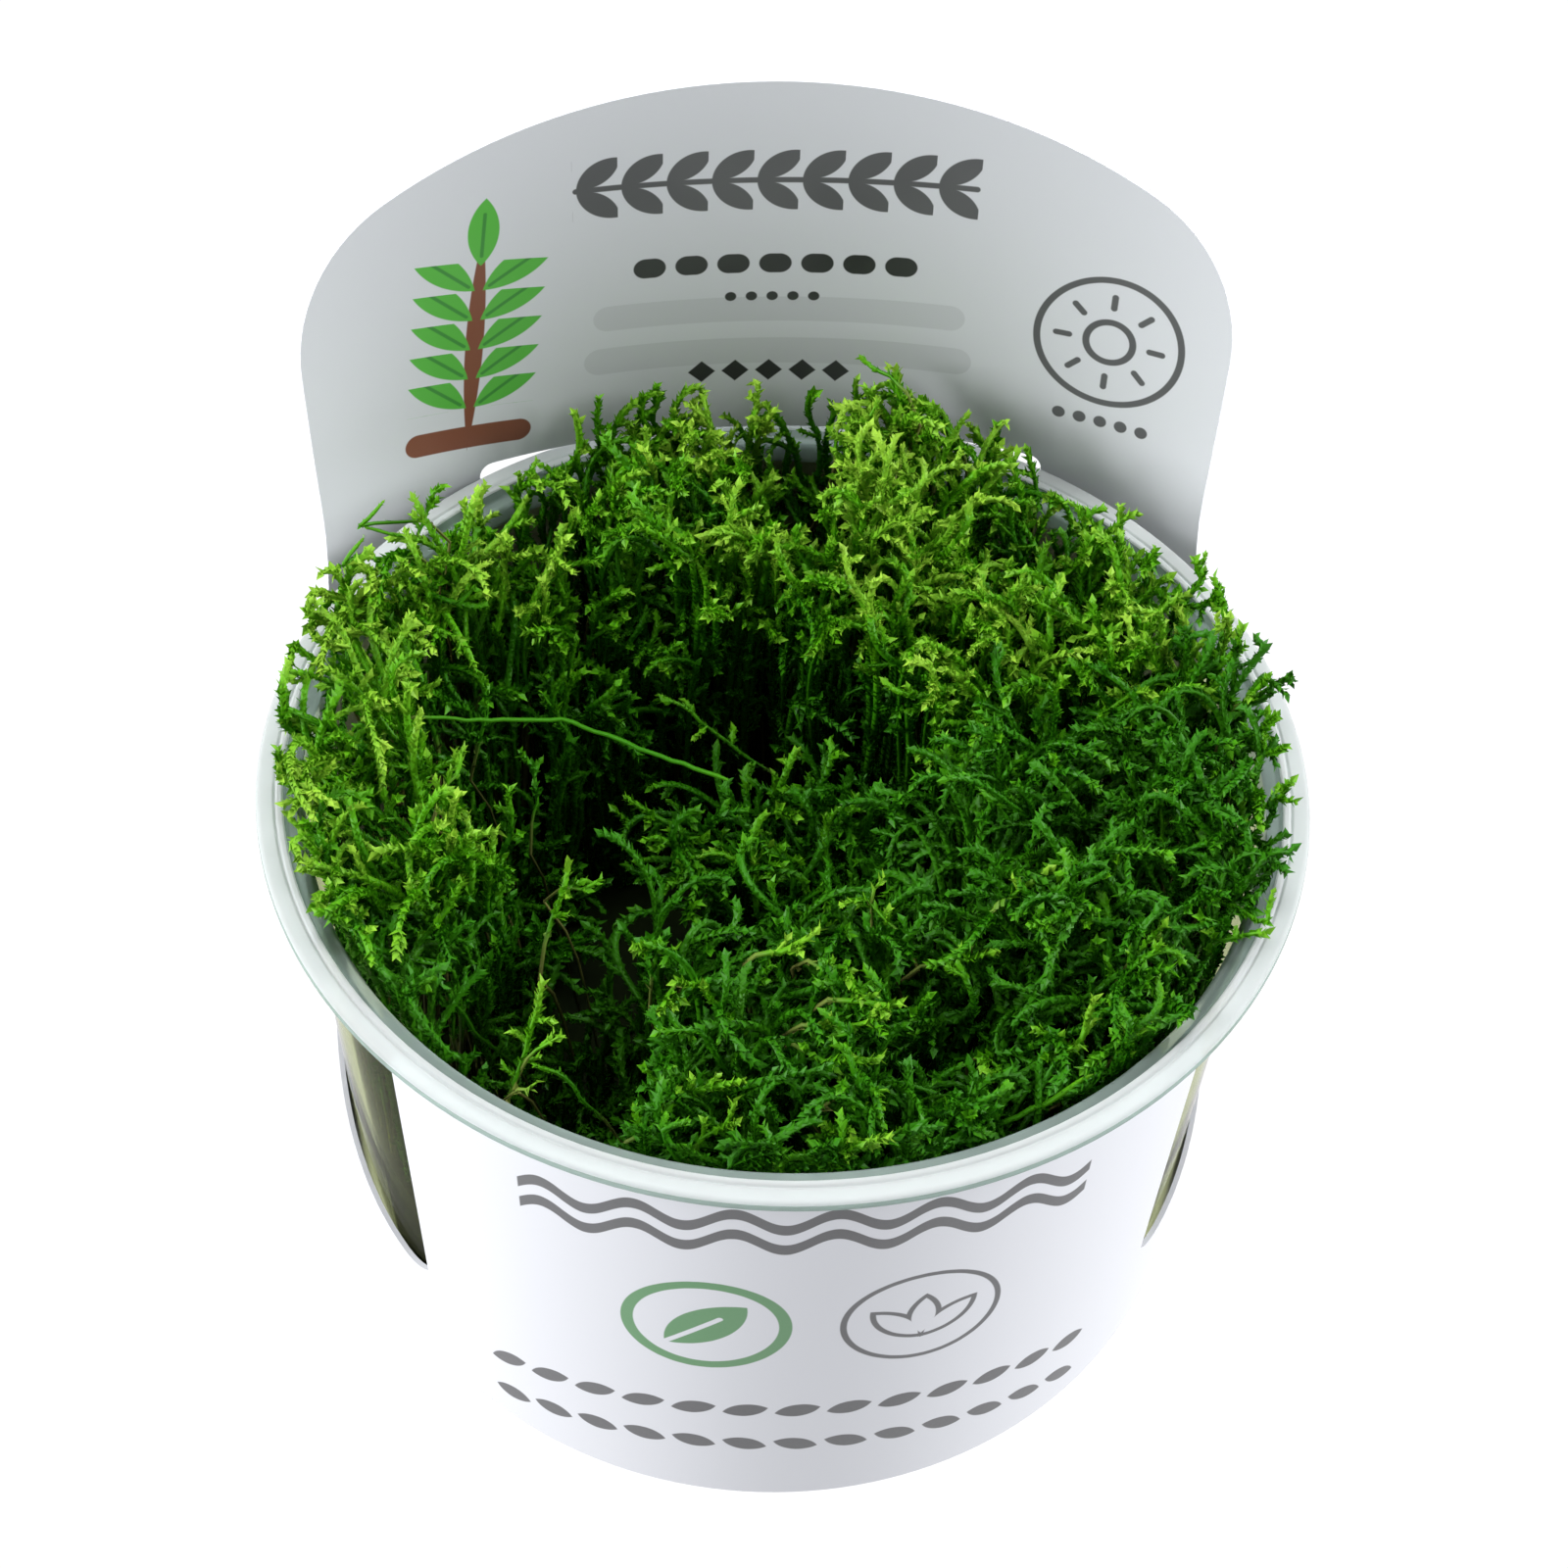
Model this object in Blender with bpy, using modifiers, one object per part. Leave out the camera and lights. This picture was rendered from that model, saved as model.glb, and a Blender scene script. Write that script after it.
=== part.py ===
"""Spiky moss grown in a clear culture cup, with a die-cut card sleeve.

The origin is the centre of the cup's base, +Z is up and +Y points at the tall
back panel of the card. All sizes are in metres.
"""

import math

import bmesh
import bpy
from mathutils import Vector, noise

MM = 0.001

# Driving dimensions of the cup
RIM_RADIUS = 47.5 * MM
RIM_TOP = 58.1 * MM
RIM_BOTTOM = 57.0 * MM
RIM_PLATE = 0.8 * MM
LIP_RADIUS = 45.1 * MM
LEDGE_TOP = 57.0 * MM
WALL_TOP_RADIUS = 44.0 * MM
WALL_TOP = 55.7 * MM
WALL_FOOT_RADIUS = 41.2 * MM
WALL_FOOT = 1.6 * MM
WALL = 0.9 * MM
FLOOR = 1.0 * MM
FOOT_RADIUS = 40.0 * MM
TURN_STEPS = 64

# Driving dimensions of the card sleeve
GAP = 0.3 * MM
CARD = 0.5 * MM
CARD_BOTTOM = 0.9 * MM
CARD_APEX = 100.0 * MM
PANEL_HALF_WIDTH = 45.4 * MM
PANEL_ARCH_RADIUS = 76.8 * MM
PANEL_SHOULDER_RADIUS = 18.0 * MM
PANEL_BEND_START = 26.0 * MM
PANEL_BACK_AT_RIM = 45.2 * MM
PANEL_BEND_AT_RIM = 74.0 * MM
WINDOW_TOP = 60.0 * MM
WINDOW_LOW_PLACE = 91.5 * MM
WINDOW_LOW = 15.0 * MM
WINDOW_FRONT = 95.9 * MM
WINDOW_HOOK_RADIUS = 5.8 * MM
FRONT_TOP = 55.4 * MM
FRONT_CORNER_RADIUS = 5.0 * MM
SLOT_HALF_LENGTH = 28.6 * MM
SLOT_BOTTOM = 55.7 * MM
SLOT_TOP = 58.5 * MM
WINDOW_STEPS = 16
BLANK_STRIPS = 32
PANEL_ROWS = (26, 33, 40, 47, 53, 62, 70, 80, 90)
MERGE = 0.01 * MM

# Driving dimensions of the gel and the moss
GEL_TOP = 21.0 * MM
GEL_MENISCUS = 1.2 * MM
MOSS_GAP = 0.6 * MM
TUFT_GAP = 0.9 * MM
TUFT_AROUND = 24
LUMP_PITCH = 7.0 * MM
LUMP_HEIGHT = 3.0 * MM
CORNER_FILL = 0.85
SIDE_LUMPS = 0.5
GROOVE_LUMPS = 0.2
MIDDLE_LUMPS = 0.4
SHORTEST_SHOOT = 10.0 * MM
PATCH_PITCH = 8.0 * MM
PATCH_DEPTH = 4.5 * MM
PATCH_SHIFT = 0.1

# Rings of a tuft from its foot to its top: share of its full width, share of its
# height and share of the lumps that it has
TUFT_RINGS = (
    (0.0, 0.0, 0.0), (0.85, 0.0, 0.0), (1.0, 0.08, 0.5), (1.0, 0.42, 1.0), (1.0, 0.68, 1.0),
    (1.0, 0.82, 0.8), (0.97, 0.93, 0.5), (0.88, 1.0, 0.0), (0.73, 1.0, 0.0), (0.58, 1.0, 0.0),
    (0.43, 1.0, 0.0), (0.28, 1.0, 0.0), (0.14, 1.0, 0.0), (0.0, 1.0, 0.0),
)

# Low places in the moss's top: centre, radii and depth, in mm
DIPS = (
    ((-20.5, -25.0), (9.0, 21.0), 32.0),
    ((-24.0, 4.0), (10.0, 15.0), 32.0),
    ((-12.0, 17.0), (9.0, 6.0), 14.0),
    ((9.0, -11.0), (7.0, 6.5), 8.0),
    ((14.0, 0.5), (8.0, 5.0), 7.0),
    ((14.0, -31.0), (8.0, 5.5), 10.0),
    ((3.5, 33.0), (4.5, 9.0), 18.0),
    ((-23.5, 27.5), (4.5, 7.0), 12.0),
    ((27.0, 8.0), (4.5, 5.0), 5.0),
    ((-2.0, -21.0), (5.0, 4.0), 6.0),
)

# Where each outer tuft stands: angles in degrees from +X towards +Y, the inner
# radius, the tips' heights at the start, middle and end of its sector and how
# far from the cup's axis the tips lean, in mm
OUTER_TUFTS = {
    "moss_tuft_right_back": (8, 50, 16, (65, 65, 63), 44.4),
    "moss_tuft_back_right": (50, 90, 16, (66, 70, 66), 43.4),
    "moss_tuft_back_left": (90, 141, 20, (67, 67, 62), 42.8),
    "moss_tuft_left": (141, 206, 22, (68, 66, 63), 45.4),
    "moss_tuft_front_left": (206, 261, 19, (62, 60, 59), 43.4),
    "moss_tuft_front_right": (261, 317, 15, (59, 60, 61), 45.2),
    "moss_tuft_right_front": (317, 368, 16, (63, 65, 66), 46.2),
}
MIDDLE_CENTRE = (3.5 * MM, -1.0 * MM)
MIDDLE_RADIUS = 11.0 * MM
MIDDLE_TOP = 51.0 * MM


def clear_scene():
    """Remove whatever the file starts with."""
    for thing in list(bpy.data.objects):
        bpy.data.objects.remove(thing, do_unlink=True)


def new_collection(name):
    collection = bpy.data.collections.new(name)
    bpy.context.scene.collection.children.link(collection)
    return collection


def material(name, colour, roughness, transmission=0.0):
    """Plain finish with the colour and gloss that the real piece has."""
    finish = bpy.data.materials.new(name)
    finish.use_nodes = True
    shader = finish.node_tree.nodes["Principled BSDF"]
    shader.inputs["Base Color"].default_value = (*colour, 1.0)
    shader.inputs["Roughness"].default_value = roughness
    shader.inputs["Metallic"].default_value = 0.0
    shader.inputs["Transmission Weight"].default_value = transmission
    finish.diffuse_color = (*colour, 1.0)
    return finish


def add_object(name, mesh, collection, finish):
    thing = bpy.data.objects.new(name, mesh)
    collection.objects.link(thing)
    mesh.materials.append(finish)
    return thing


def arc(centre, radius, start, end, steps):
    """Points on a circle from one angle to another, in degrees."""
    points = []
    for step in range(steps + 1):
        angle = math.radians(start + (end - start) * step / steps)
        points.append((centre[0] + radius * math.cos(angle), centre[1] + radius * math.sin(angle)))
    return points


def turned_piece(name, profile, collection, finish, closed=True):
    """Solid of revolution: the profile runs down its outer side first."""
    mesh = bpy.data.meshes.new(name)
    ring = [(radius, 0.0, height) for radius, height in profile]
    edges = [(index, index + 1) for index in range(len(ring) - 1)]
    if closed:
        edges.append((len(ring) - 1, 0))
    mesh.from_pydata(ring, edges, [])
    piece = add_object(name, mesh, collection, finish)
    screw = piece.modifiers.new("Turn", "SCREW")
    screw.axis = "Z"
    screw.steps = TURN_STEPS
    screw.render_steps = TURN_STEPS
    screw.use_merge_vertices = True
    screw.merge_threshold = MERGE
    screw.use_smooth_shade = True
    return piece


def wall_radius(height):
    """Outer radius of the cup's tapered wall at a height."""
    share = (height - WALL_FOOT) / (WALL_TOP - WALL_FOOT)
    return WALL_FOOT_RADIUS + (WALL_TOP_RADIUS - WALL_FOOT_RADIUS) * share


def make_cup(collection):
    """The cup, with a flat rim, a lid ledge inside it and a flat base."""
    lip_drop = 0.2 * MM
    bevel = 0.3 * MM
    underside = RIM_TOP - RIM_PLATE
    outer = [
        (LIP_RADIUS, RIM_TOP),
        (RIM_RADIUS - bevel, RIM_TOP),
        (RIM_RADIUS, RIM_TOP - bevel),
        (RIM_RADIUS, RIM_BOTTOM),
        (RIM_RADIUS - WALL, RIM_BOTTOM),
        (RIM_RADIUS - WALL, underside),
        (LIP_RADIUS + 0.6 * MM, underside),
        (LIP_RADIUS + 0.5 * MM, LEDGE_TOP - 0.7 * MM),
        (WALL_TOP_RADIUS + 0.3 * MM, LEDGE_TOP - 0.9 * MM),
        (WALL_TOP_RADIUS, WALL_TOP),
        (WALL_FOOT_RADIUS, WALL_FOOT),
        (WALL_FOOT_RADIUS - 0.4 * MM, 0.4 * MM),
        (FOOT_RADIUS, 0.0),
        (0.0, 0.0),
    ]
    inner = [
        (0.0, FLOOR),
        (FOOT_RADIUS - 1.0 * MM, FLOOR),
        (WALL_FOOT_RADIUS - WALL, FLOOR + 1.4 * MM),
        (WALL_TOP_RADIUS - WALL, WALL_TOP),
        (WALL_TOP_RADIUS - WALL + 0.5 * MM, LEDGE_TOP),
        (LIP_RADIUS - 0.3 * MM, LEDGE_TOP),
        (LIP_RADIUS - lip_drop, RIM_TOP - lip_drop),
    ]
    clear = material("clear_plastic", (0.80, 0.86, 0.83), 0.18, transmission=0.8)
    return turned_piece("cup", outer + inner, collection, clear)


def make_gel(collection):
    """Culture gel that fills the bottom of the cup and climbs a little at the wall."""
    side_gap = WALL + GAP
    corner_height = 3.2 * MM
    floor_radius = FOOT_RADIUS - 1.4 * MM
    edge = wall_radius(GEL_TOP) - side_gap
    profile = [
        (0.0, GEL_TOP),
        (edge - 2.5 * GEL_MENISCUS, GEL_TOP),
        (edge - 0.8 * GEL_MENISCUS, GEL_TOP + 0.35 * GEL_MENISCUS),
        (edge, GEL_TOP + GEL_MENISCUS),
        (wall_radius(corner_height) - side_gap, corner_height),
        (floor_radius, FLOOR + GAP),
        (0.0, FLOOR + GAP),
    ]
    jelly = material("culture_gel", (0.10, 0.13, 0.04), 0.25, transmission=0.4)
    return turned_piece("growth_gel", profile, collection, jelly, closed=False)


def half_blank():
    """Outline of half the flat card: across from the middle of the back, and up."""
    arch_centre = (0.0, CARD_APEX - PANEL_ARCH_RADIUS)
    shoulder_x = PANEL_HALF_WIDTH - PANEL_SHOULDER_RADIUS
    reach = PANEL_ARCH_RADIUS - PANEL_SHOULDER_RADIUS
    shoulder_z = arch_centre[1] + math.sqrt(reach ** 2 - shoulder_x ** 2)
    meet = math.degrees(math.atan2(shoulder_z - arch_centre[1], shoulder_x))
    slot_radius = (SLOT_TOP - SLOT_BOTTOM) / 2
    slot_centre = (SLOT_HALF_LENGTH - slot_radius, (SLOT_TOP + SLOT_BOTTOM) / 2)
    hook_turn = math.degrees(math.asin((WINDOW_FRONT - WINDOW_LOW_PLACE) / WINDOW_HOOK_RADIUS))
    corner = (WINDOW_FRONT + FRONT_CORNER_RADIUS, FRONT_TOP - FRONT_CORNER_RADIUS)

    outline = [(0.0, SLOT_TOP)]
    outline += arc(arch_centre, PANEL_ARCH_RADIUS, 90.0, meet, 14)
    outline += arc((shoulder_x, shoulder_z), PANEL_SHOULDER_RADIUS, meet, 0.0, 8)[1:]
    for step in range(WINDOW_STEPS + 1):
        turn = math.pi / 2 * step / WINDOW_STEPS
        across = (WINDOW_LOW_PLACE - PANEL_HALF_WIDTH) * (1.0 - math.cos(turn))
        drop = (WINDOW_TOP - WINDOW_LOW) * math.sin(turn)
        outline.append((PANEL_HALF_WIDTH + across, WINDOW_TOP - drop))
    hook_centre = (WINDOW_LOW_PLACE, WINDOW_LOW + WINDOW_HOOK_RADIUS)
    outline += arc(hook_centre, WINDOW_HOOK_RADIUS, -90.0, -90.0 + hook_turn, 3)[1:]
    outline += arc(corner, FRONT_CORNER_RADIUS, 180.0, 90.0, 5)
    outline += [(BLANK_HALF_LENGTH, FRONT_TOP), (BLANK_HALF_LENGTH, CARD_BOTTOM), (0.0, CARD_BOTTOM)]
    outline.append((0.0, SLOT_BOTTOM))
    outline += arc(slot_centre, slot_radius, -90.0, 90.0, 6)
    return outline


def card_radius(height):
    """Radius of the card's middle layer where it hugs the cup."""
    return wall_radius(height) + GAP + CARD / 2


WRAP_RADIUS = card_radius(PANEL_BEND_START)
BLANK_HALF_LENGTH = math.pi * WRAP_RADIUS


def bend(across, height):
    """Place on the bent card of a point of the flat blank.

    The card hugs the cup low down and at the front. From PANEL_BEND_START up,
    the back panel opens out steadily, because the cup's rim holds it off.
    """
    opened = height > PANEL_BEND_START and across < WINDOW_LOW_PLACE
    if not opened:
        radius = card_radius(height)
        angle = across / WRAP_RADIUS
        return Vector((radius * math.sin(angle), radius * math.cos(angle), height))
    rise = (height - PANEL_BEND_START) / (RIM_BOTTOM - PANEL_BEND_START)
    radius = WRAP_RADIUS + (PANEL_BEND_AT_RIM - WRAP_RADIUS) * rise
    back = WRAP_RADIUS + (PANEL_BACK_AT_RIM - WRAP_RADIUS) * min(rise, 1.0)
    angle = across / radius
    return Vector((radius * math.sin(angle), back - radius + radius * math.cos(angle), height))


def filled_outline(name, points, collection):
    """Flat mesh inside a closed outline."""
    curve = bpy.data.curves.new(name, "CURVE")
    curve.dimensions = "2D"
    curve.fill_mode = "BOTH"
    spline = curve.splines.new("POLY")
    spline.points.add(len(points) - 1)
    for point, (across, height) in zip(spline.points, points):
        point.co = (across, height, 0.0, 1.0)
    spline.use_cyclic_u = True
    flat = bpy.data.objects.new(name, curve)
    collection.objects.link(flat)
    depsgraph = bpy.context.evaluated_depsgraph_get()
    mesh = bpy.data.meshes.new_from_object(flat.evaluated_get(depsgraph))
    bpy.data.objects.remove(flat, do_unlink=True)
    mesh.name = name
    return mesh


def score_blank(blank):
    """Cut the flat blank into upright strips and rows, so that it can bend."""
    bmesh.ops.dissolve_limit(blank, angle_limit=math.radians(0.5), use_dissolve_boundaries=False,
                             verts=blank.verts, edges=blank.edges, delimit=set())
    across = Vector((1.0, 0.0, 0.0))
    up = Vector((0.0, 1.0, 0.0))
    scores = [(across * BLANK_HALF_LENGTH * strip / BLANK_STRIPS, across)
              for strip in range(1, BLANK_STRIPS)]
    scores += [(up * row * MM, up) for row in PANEL_ROWS]
    for place, direction in scores:
        geometry = blank.verts[:] + blank.edges[:] + blank.faces[:]
        bmesh.ops.bisect_plane(blank, geom=geometry, dist=2 * MERGE, plane_co=place, plane_no=direction)
    bmesh.ops.triangulate(blank, faces=blank.faces)


def make_card(collection):
    """The sleeve: half the blank, bent round the cup, mirrored and given its thickness."""
    mesh = filled_outline("card_sleeve", half_blank(), collection)
    blank = bmesh.new()
    blank.from_mesh(mesh)
    bmesh.ops.remove_doubles(blank, verts=blank.verts, dist=MERGE)
    score_blank(blank)
    for vert in blank.verts:
        vert.co = bend(vert.co.x, vert.co.y)
        if abs(vert.co.x) < MERGE:
            vert.co.x = 0.0
    bmesh.ops.recalc_face_normals(blank, faces=blank.faces)
    blank.to_mesh(mesh)
    blank.free()

    mesh.materials.clear()
    white = material("white_card", (0.86, 0.88, 0.90), 0.45)
    card = add_object("card_sleeve", mesh, collection, white)
    mirror = card.modifiers.new("Other half", "MIRROR")
    mirror.use_axis = (True, False, False)
    mirror.use_clip = True
    mirror.merge_threshold = 2 * MERGE
    thick = card.modifiers.new("Card thickness", "SOLIDIFY")
    thick.thickness = CARD
    thick.offset = 0.0
    thick.use_even_offset = True
    return card


def moss_limit(height, reach):
    """Largest radius that the moss may have at a height, clear of the cup."""
    inside = wall_radius(min(height, WALL_TOP)) - WALL - MOSS_GAP
    over_start = RIM_TOP + 0.8 * MM
    over_full = RIM_TOP + 3.5 * MM
    if height <= over_start:
        return inside
    share = min((height - over_start) / (over_full - over_start), 1.0)
    return inside + (reach - inside) * share


def round_to_square(across, along):
    """Carry a point of the unit disc to a square with soft corners."""
    length = math.hypot(across, along)
    longest = max(abs(across), abs(along))
    if longest < 0.000001:
        return 0.0, 0.0
    stretch = (length / longest) ** CORNER_FILL
    return across * stretch, along * stretch


def lumps(place):
    """Even lumpiness of a clump of shoots."""
    return noise.noise(place / LUMP_PITCH) + 0.5 * noise.noise(place / (LUMP_PITCH * 0.45))


def tuft_from_ball(name, shape, collection, finish):
    """A ball whose points the shape function carries to the tuft's lumpy form."""
    ball = bmesh.new()
    rings = len(TUFT_RINGS) - 1
    bmesh.ops.create_uvsphere(ball, u_segments=TUFT_AROUND, v_segments=rings, radius=1.0)
    for vert in ball.verts:
        vert.co = shape(vert.co.copy())
    mesh = bpy.data.meshes.new(name)
    ball.to_mesh(mesh)
    ball.free()
    mesh.shade_smooth()
    return add_object(name, mesh, collection, finish)


def tuft_ring(ball):
    """Direction round the tuft of a point of the ball, and the ring that it belongs to."""
    turn = math.acos(min(max(-ball.z, -1.0), 1.0)) / math.pi
    ring = TUFT_RINGS[round(turn * (len(TUFT_RINGS) - 1))]
    flat = max(math.hypot(ball.x, ball.y), 0.000001)
    return ball.x / flat, ball.y / flat, ring


def tuft_height(place, top, share):
    """Height of a ring over a place, for tips that reach top where nothing is low."""
    low = 0.0
    for centre, radii, depth in DIPS:
        away = math.hypot((place.x / MM - centre[0]) / radii[0], (place.y / MM - centre[1]) / radii[1])
        low += depth * MM * max(1.0 - away ** 2, 0.0)
    patch = noise.noise(Vector((place.x, place.y, 0.0)) / PATCH_PITCH)
    low += PATCH_DEPTH * max(patch + PATCH_SHIFT, 0.0)
    canopy = max(top - low, GEL_TOP + SHORTEST_SHOOT)
    foot = GEL_TOP + GAP
    return foot + (canopy - foot) * share


def top_height(tops, along):
    """Height of a tuft's tips across its sector, from -1 at its start to 1."""
    start, middle, end = tops
    edge = start if along < 0.0 else end
    return (middle + (edge - middle) * abs(along)) * MM


def make_outer_tuft(name, size, collection, finish):
    """A tuft that fills a sector of the cup, from an inner radius to the wall."""
    start, end, inner, tops, reach = size
    middle_angle = math.radians((start + end) / 2)
    half_angle = math.radians((end - start) / 2)

    def shape(ball):
        east, north, (spread, share, lumpy) = tuft_ring(ball)
        across, along = round_to_square(spread * east, spread * north)
        top = top_height(tops, along)
        angle = middle_angle + half_angle * along
        height = top
        for _ in range(2):
            low = inner * MM
            outer = moss_limit(height, reach * MM)
            radius = low + (outer - low) * (0.5 + 0.5 * across)
            place = Vector((radius * math.cos(angle), radius * math.sin(angle), height))
            height = tuft_height(place, top, share)
        bump = lumps(place) * LUMP_HEIGHT * lumpy
        if across < 0.0:
            radius += SIDE_LUMPS * bump
        radius = min(radius, moss_limit(height, reach * MM))
        side = half_angle - (0.5 * TUFT_GAP + GROOVE_LUMPS * max(bump, 0.0)) / radius
        angle = middle_angle + side * along
        return Vector((radius * math.cos(angle), radius * math.sin(angle), height))

    return tuft_from_ball(name, shape, collection, finish)


def make_middle_tuft(collection, finish):
    """The low tuft in the middle, beside the open hollow."""

    def shape(ball):
        east, north, (spread, share, lumpy) = tuft_ring(ball)
        across = MIDDLE_RADIUS * spread * east
        along = MIDDLE_RADIUS * spread * north
        place = Vector((MIDDLE_CENTRE[0] + across, MIDDLE_CENTRE[1] + along, 0.0))
        place.z = tuft_height(place, MIDDLE_TOP, share)
        bump = lumps(place) * LUMP_HEIGHT * lumpy
        swell = MIDDLE_LUMPS * bump / MIDDLE_RADIUS
        return place + Vector((across, along, 0.0)) * swell

    return tuft_from_ball("moss_tuft_middle", shape, collection, finish)


def make_moss(collection):
    """All the tufts, in a ring round the middle one."""
    green = material("moss", (0.07, 0.20, 0.02), 0.6)
    for name, size in OUTER_TUFTS.items():
        make_outer_tuft(name, size, collection, green)
    make_middle_tuft(collection, green)


def main():
    clear_scene()
    parts = new_collection("moss_cup")
    make_cup(parts)
    make_gel(parts)
    make_card(parts)
    make_moss(parts)


main()
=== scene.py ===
"""Spiky moss grown in a clear culture cup with a die-cut card sleeve: the finished look.

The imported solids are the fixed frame: the origin is the centre of the cup's base,
+Z is up and +Y points at the card's tall back panel. Each class below builds one
sub-assembly in the place of its solids and gives it its finish.
"""

import logging
import math
import random
from dataclasses import dataclass, field
from enum import Enum
from typing import Any

import bmesh
import bpy
import numpy as np
from mathutils import Matrix, Vector, noise


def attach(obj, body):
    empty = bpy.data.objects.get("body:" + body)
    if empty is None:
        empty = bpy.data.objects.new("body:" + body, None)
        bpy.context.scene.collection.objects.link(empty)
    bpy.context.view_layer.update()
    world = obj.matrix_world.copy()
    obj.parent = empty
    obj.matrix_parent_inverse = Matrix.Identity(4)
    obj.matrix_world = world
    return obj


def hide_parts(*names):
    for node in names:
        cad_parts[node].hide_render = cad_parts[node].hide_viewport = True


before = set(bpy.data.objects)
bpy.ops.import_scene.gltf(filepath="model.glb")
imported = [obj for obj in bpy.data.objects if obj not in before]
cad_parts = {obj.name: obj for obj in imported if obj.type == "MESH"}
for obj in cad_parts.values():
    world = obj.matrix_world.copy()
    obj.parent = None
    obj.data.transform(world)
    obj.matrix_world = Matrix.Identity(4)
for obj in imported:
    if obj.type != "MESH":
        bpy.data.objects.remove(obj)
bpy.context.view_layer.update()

MM = 0.001
TOUCH = 0.01 * MM
UP = Vector((0.0, 0.0, 1.0))
LOG = logging.getLogger("moss_cup")

Colour = tuple[float, float, float]
Outline = list[tuple[float, float]]


class Slot(Enum):
    """The record's material slots."""

    CUP = "cup"
    CARD = "card"
    GEL = "gel"
    MOSS = "moss"


class Side(Enum):
    """The two faces of the card, with the share of the UV map's height each starts at."""

    OUTSIDE = 0.0
    INSIDE = 0.5


class Wire:
    """An output socket that reads like a number in a Python expression."""

    def __init__(self, graph: "Graph", socket: bpy.types.NodeSocket) -> None:
        """Keep the socket and the graph that it belongs to."""
        self.graph = graph
        self.socket = socket

    def math(self, operation: str, *others: Any) -> "Wire":
        """Return a Math node on this wire and the others."""
        values = dict(enumerate((self, *others)))
        return self.graph.node("ShaderNodeMath", {"operation": operation}, values)

    def __add__(self, other: Any) -> "Wire":
        """Return the sum."""
        return self.math("ADD", other)

    def __radd__(self, other: Any) -> "Wire":
        """Return the sum."""
        return self.math("ADD", other)

    def __sub__(self, other: Any) -> "Wire":
        """Return the difference."""
        return self.math("SUBTRACT", other)

    def __rsub__(self, other: Any) -> "Wire":
        """Return the difference, this wire being taken away."""
        return self.graph.node("ShaderNodeMath", {"operation": "SUBTRACT"}, {0: other, 1: self})

    def __mul__(self, other: Any) -> "Wire":
        """Return the product."""
        return self.math("MULTIPLY", other)

    def __rmul__(self, other: Any) -> "Wire":
        """Return the product."""
        return self.math("MULTIPLY", other)

    def __abs__(self) -> "Wire":
        """Return the absolute value."""
        return self.math("ABSOLUTE")

    def at_least(self, other: Any) -> "Wire":
        """Return the larger of the two."""
        return self.math("MAXIMUM", other)

    def at_most(self, other: Any) -> "Wire":
        """Return the smaller of the two."""
        return self.math("MINIMUM", other)

    def wrapped(self, pitch: float) -> "Wire":
        """Return the distance from the middle of the nearest repeat of this pitch."""
        return self.math("WRAP", pitch / 2, -pitch / 2)


class Graph:
    """A shader or geometry node tree with one way to add a node."""

    def __init__(self, tree: bpy.types.NodeTree) -> None:
        """Keep the tree."""
        self.tree = tree

    def node(self, kind: str, settings: dict[str, Any] | None = None,
             sockets: dict[str | int, Any] | None = None, out: str | int = 0) -> Wire:
        """Add a node.

        Args:
            kind: the node's type.
            settings: its own settings, set before its sockets; "stops" fills a colour ramp.
            sockets: a value or a wire for each input, by name, identifier or number.
            out: the output that is wanted.

        Returns:
            The wanted output as a wire.
        """
        made = self.tree.nodes.new(kind)
        for name, value in (settings or {}).items():
            if name == "stops":
                self.set_stops(made.color_ramp, value)
            else:
                setattr(made, name, value)
        for key, value in (sockets or {}).items():
            self.feed(self.find(made.inputs, key), value)
        return Wire(self, self.find(made.outputs, out))

    @staticmethod
    def find(sockets: Any, key: str | int) -> bpy.types.NodeSocket:
        """Return the socket of a number, identifier or name, an enabled one where several share it."""
        if isinstance(key, int):
            return sockets[key]
        named = [socket for socket in sockets if key in (socket.identifier, socket.name)]
        return next((socket for socket in named if socket.enabled), named[0])

    @staticmethod
    def set_stops(ramp: bpy.types.ColorRamp, stops: list[tuple[float, Colour]]) -> None:
        """Fill a colour ramp.

        Args:
            ramp: the ramp, with Blender's two first stops.
            stops: place and colour of each stop, from left to right.
        """
        while len(ramp.elements) < len(stops):
            ramp.elements.new(0.5)
        for element, (place, colour) in zip(ramp.elements, stops):
            element.position = place
            element.color = (*colour, 1.0)

    def feed(self, socket: bpy.types.NodeSocket, value: Any) -> None:
        """Set an input socket.

        Args:
            socket: the input.
            value: a wire to link, or a value; a colour may leave out its alpha.
        """
        if isinstance(value, Wire):
            self.tree.links.new(value.socket, socket)
        elif socket.type == "RGBA" and len(value) == 3:
            socket.default_value = (*value, 1.0)
        else:
            socket.default_value = value

    def mix(self, share: Any, first: Any, second: Any) -> Wire:
        """Return the first colour with a share, from 0 to 1, of the second one over it."""
        return self.node("ShaderNodeMix", {"data_type": "RGBA"},
                         {"Factor_Float": share, "A_Color": first, "B_Color": second}, "Result_Color")

    def noise(self, place: Any, pitch: float, detail: float) -> Wire:
        """Return noise from 0 to 1, with patches of a pitch in metres and some finer layers."""
        return self.node("ShaderNodeTexNoise", {"noise_dimensions": "3D"},
                         {"Vector": place, "Scale": 1.0 / pitch, "Detail": detail})


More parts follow.
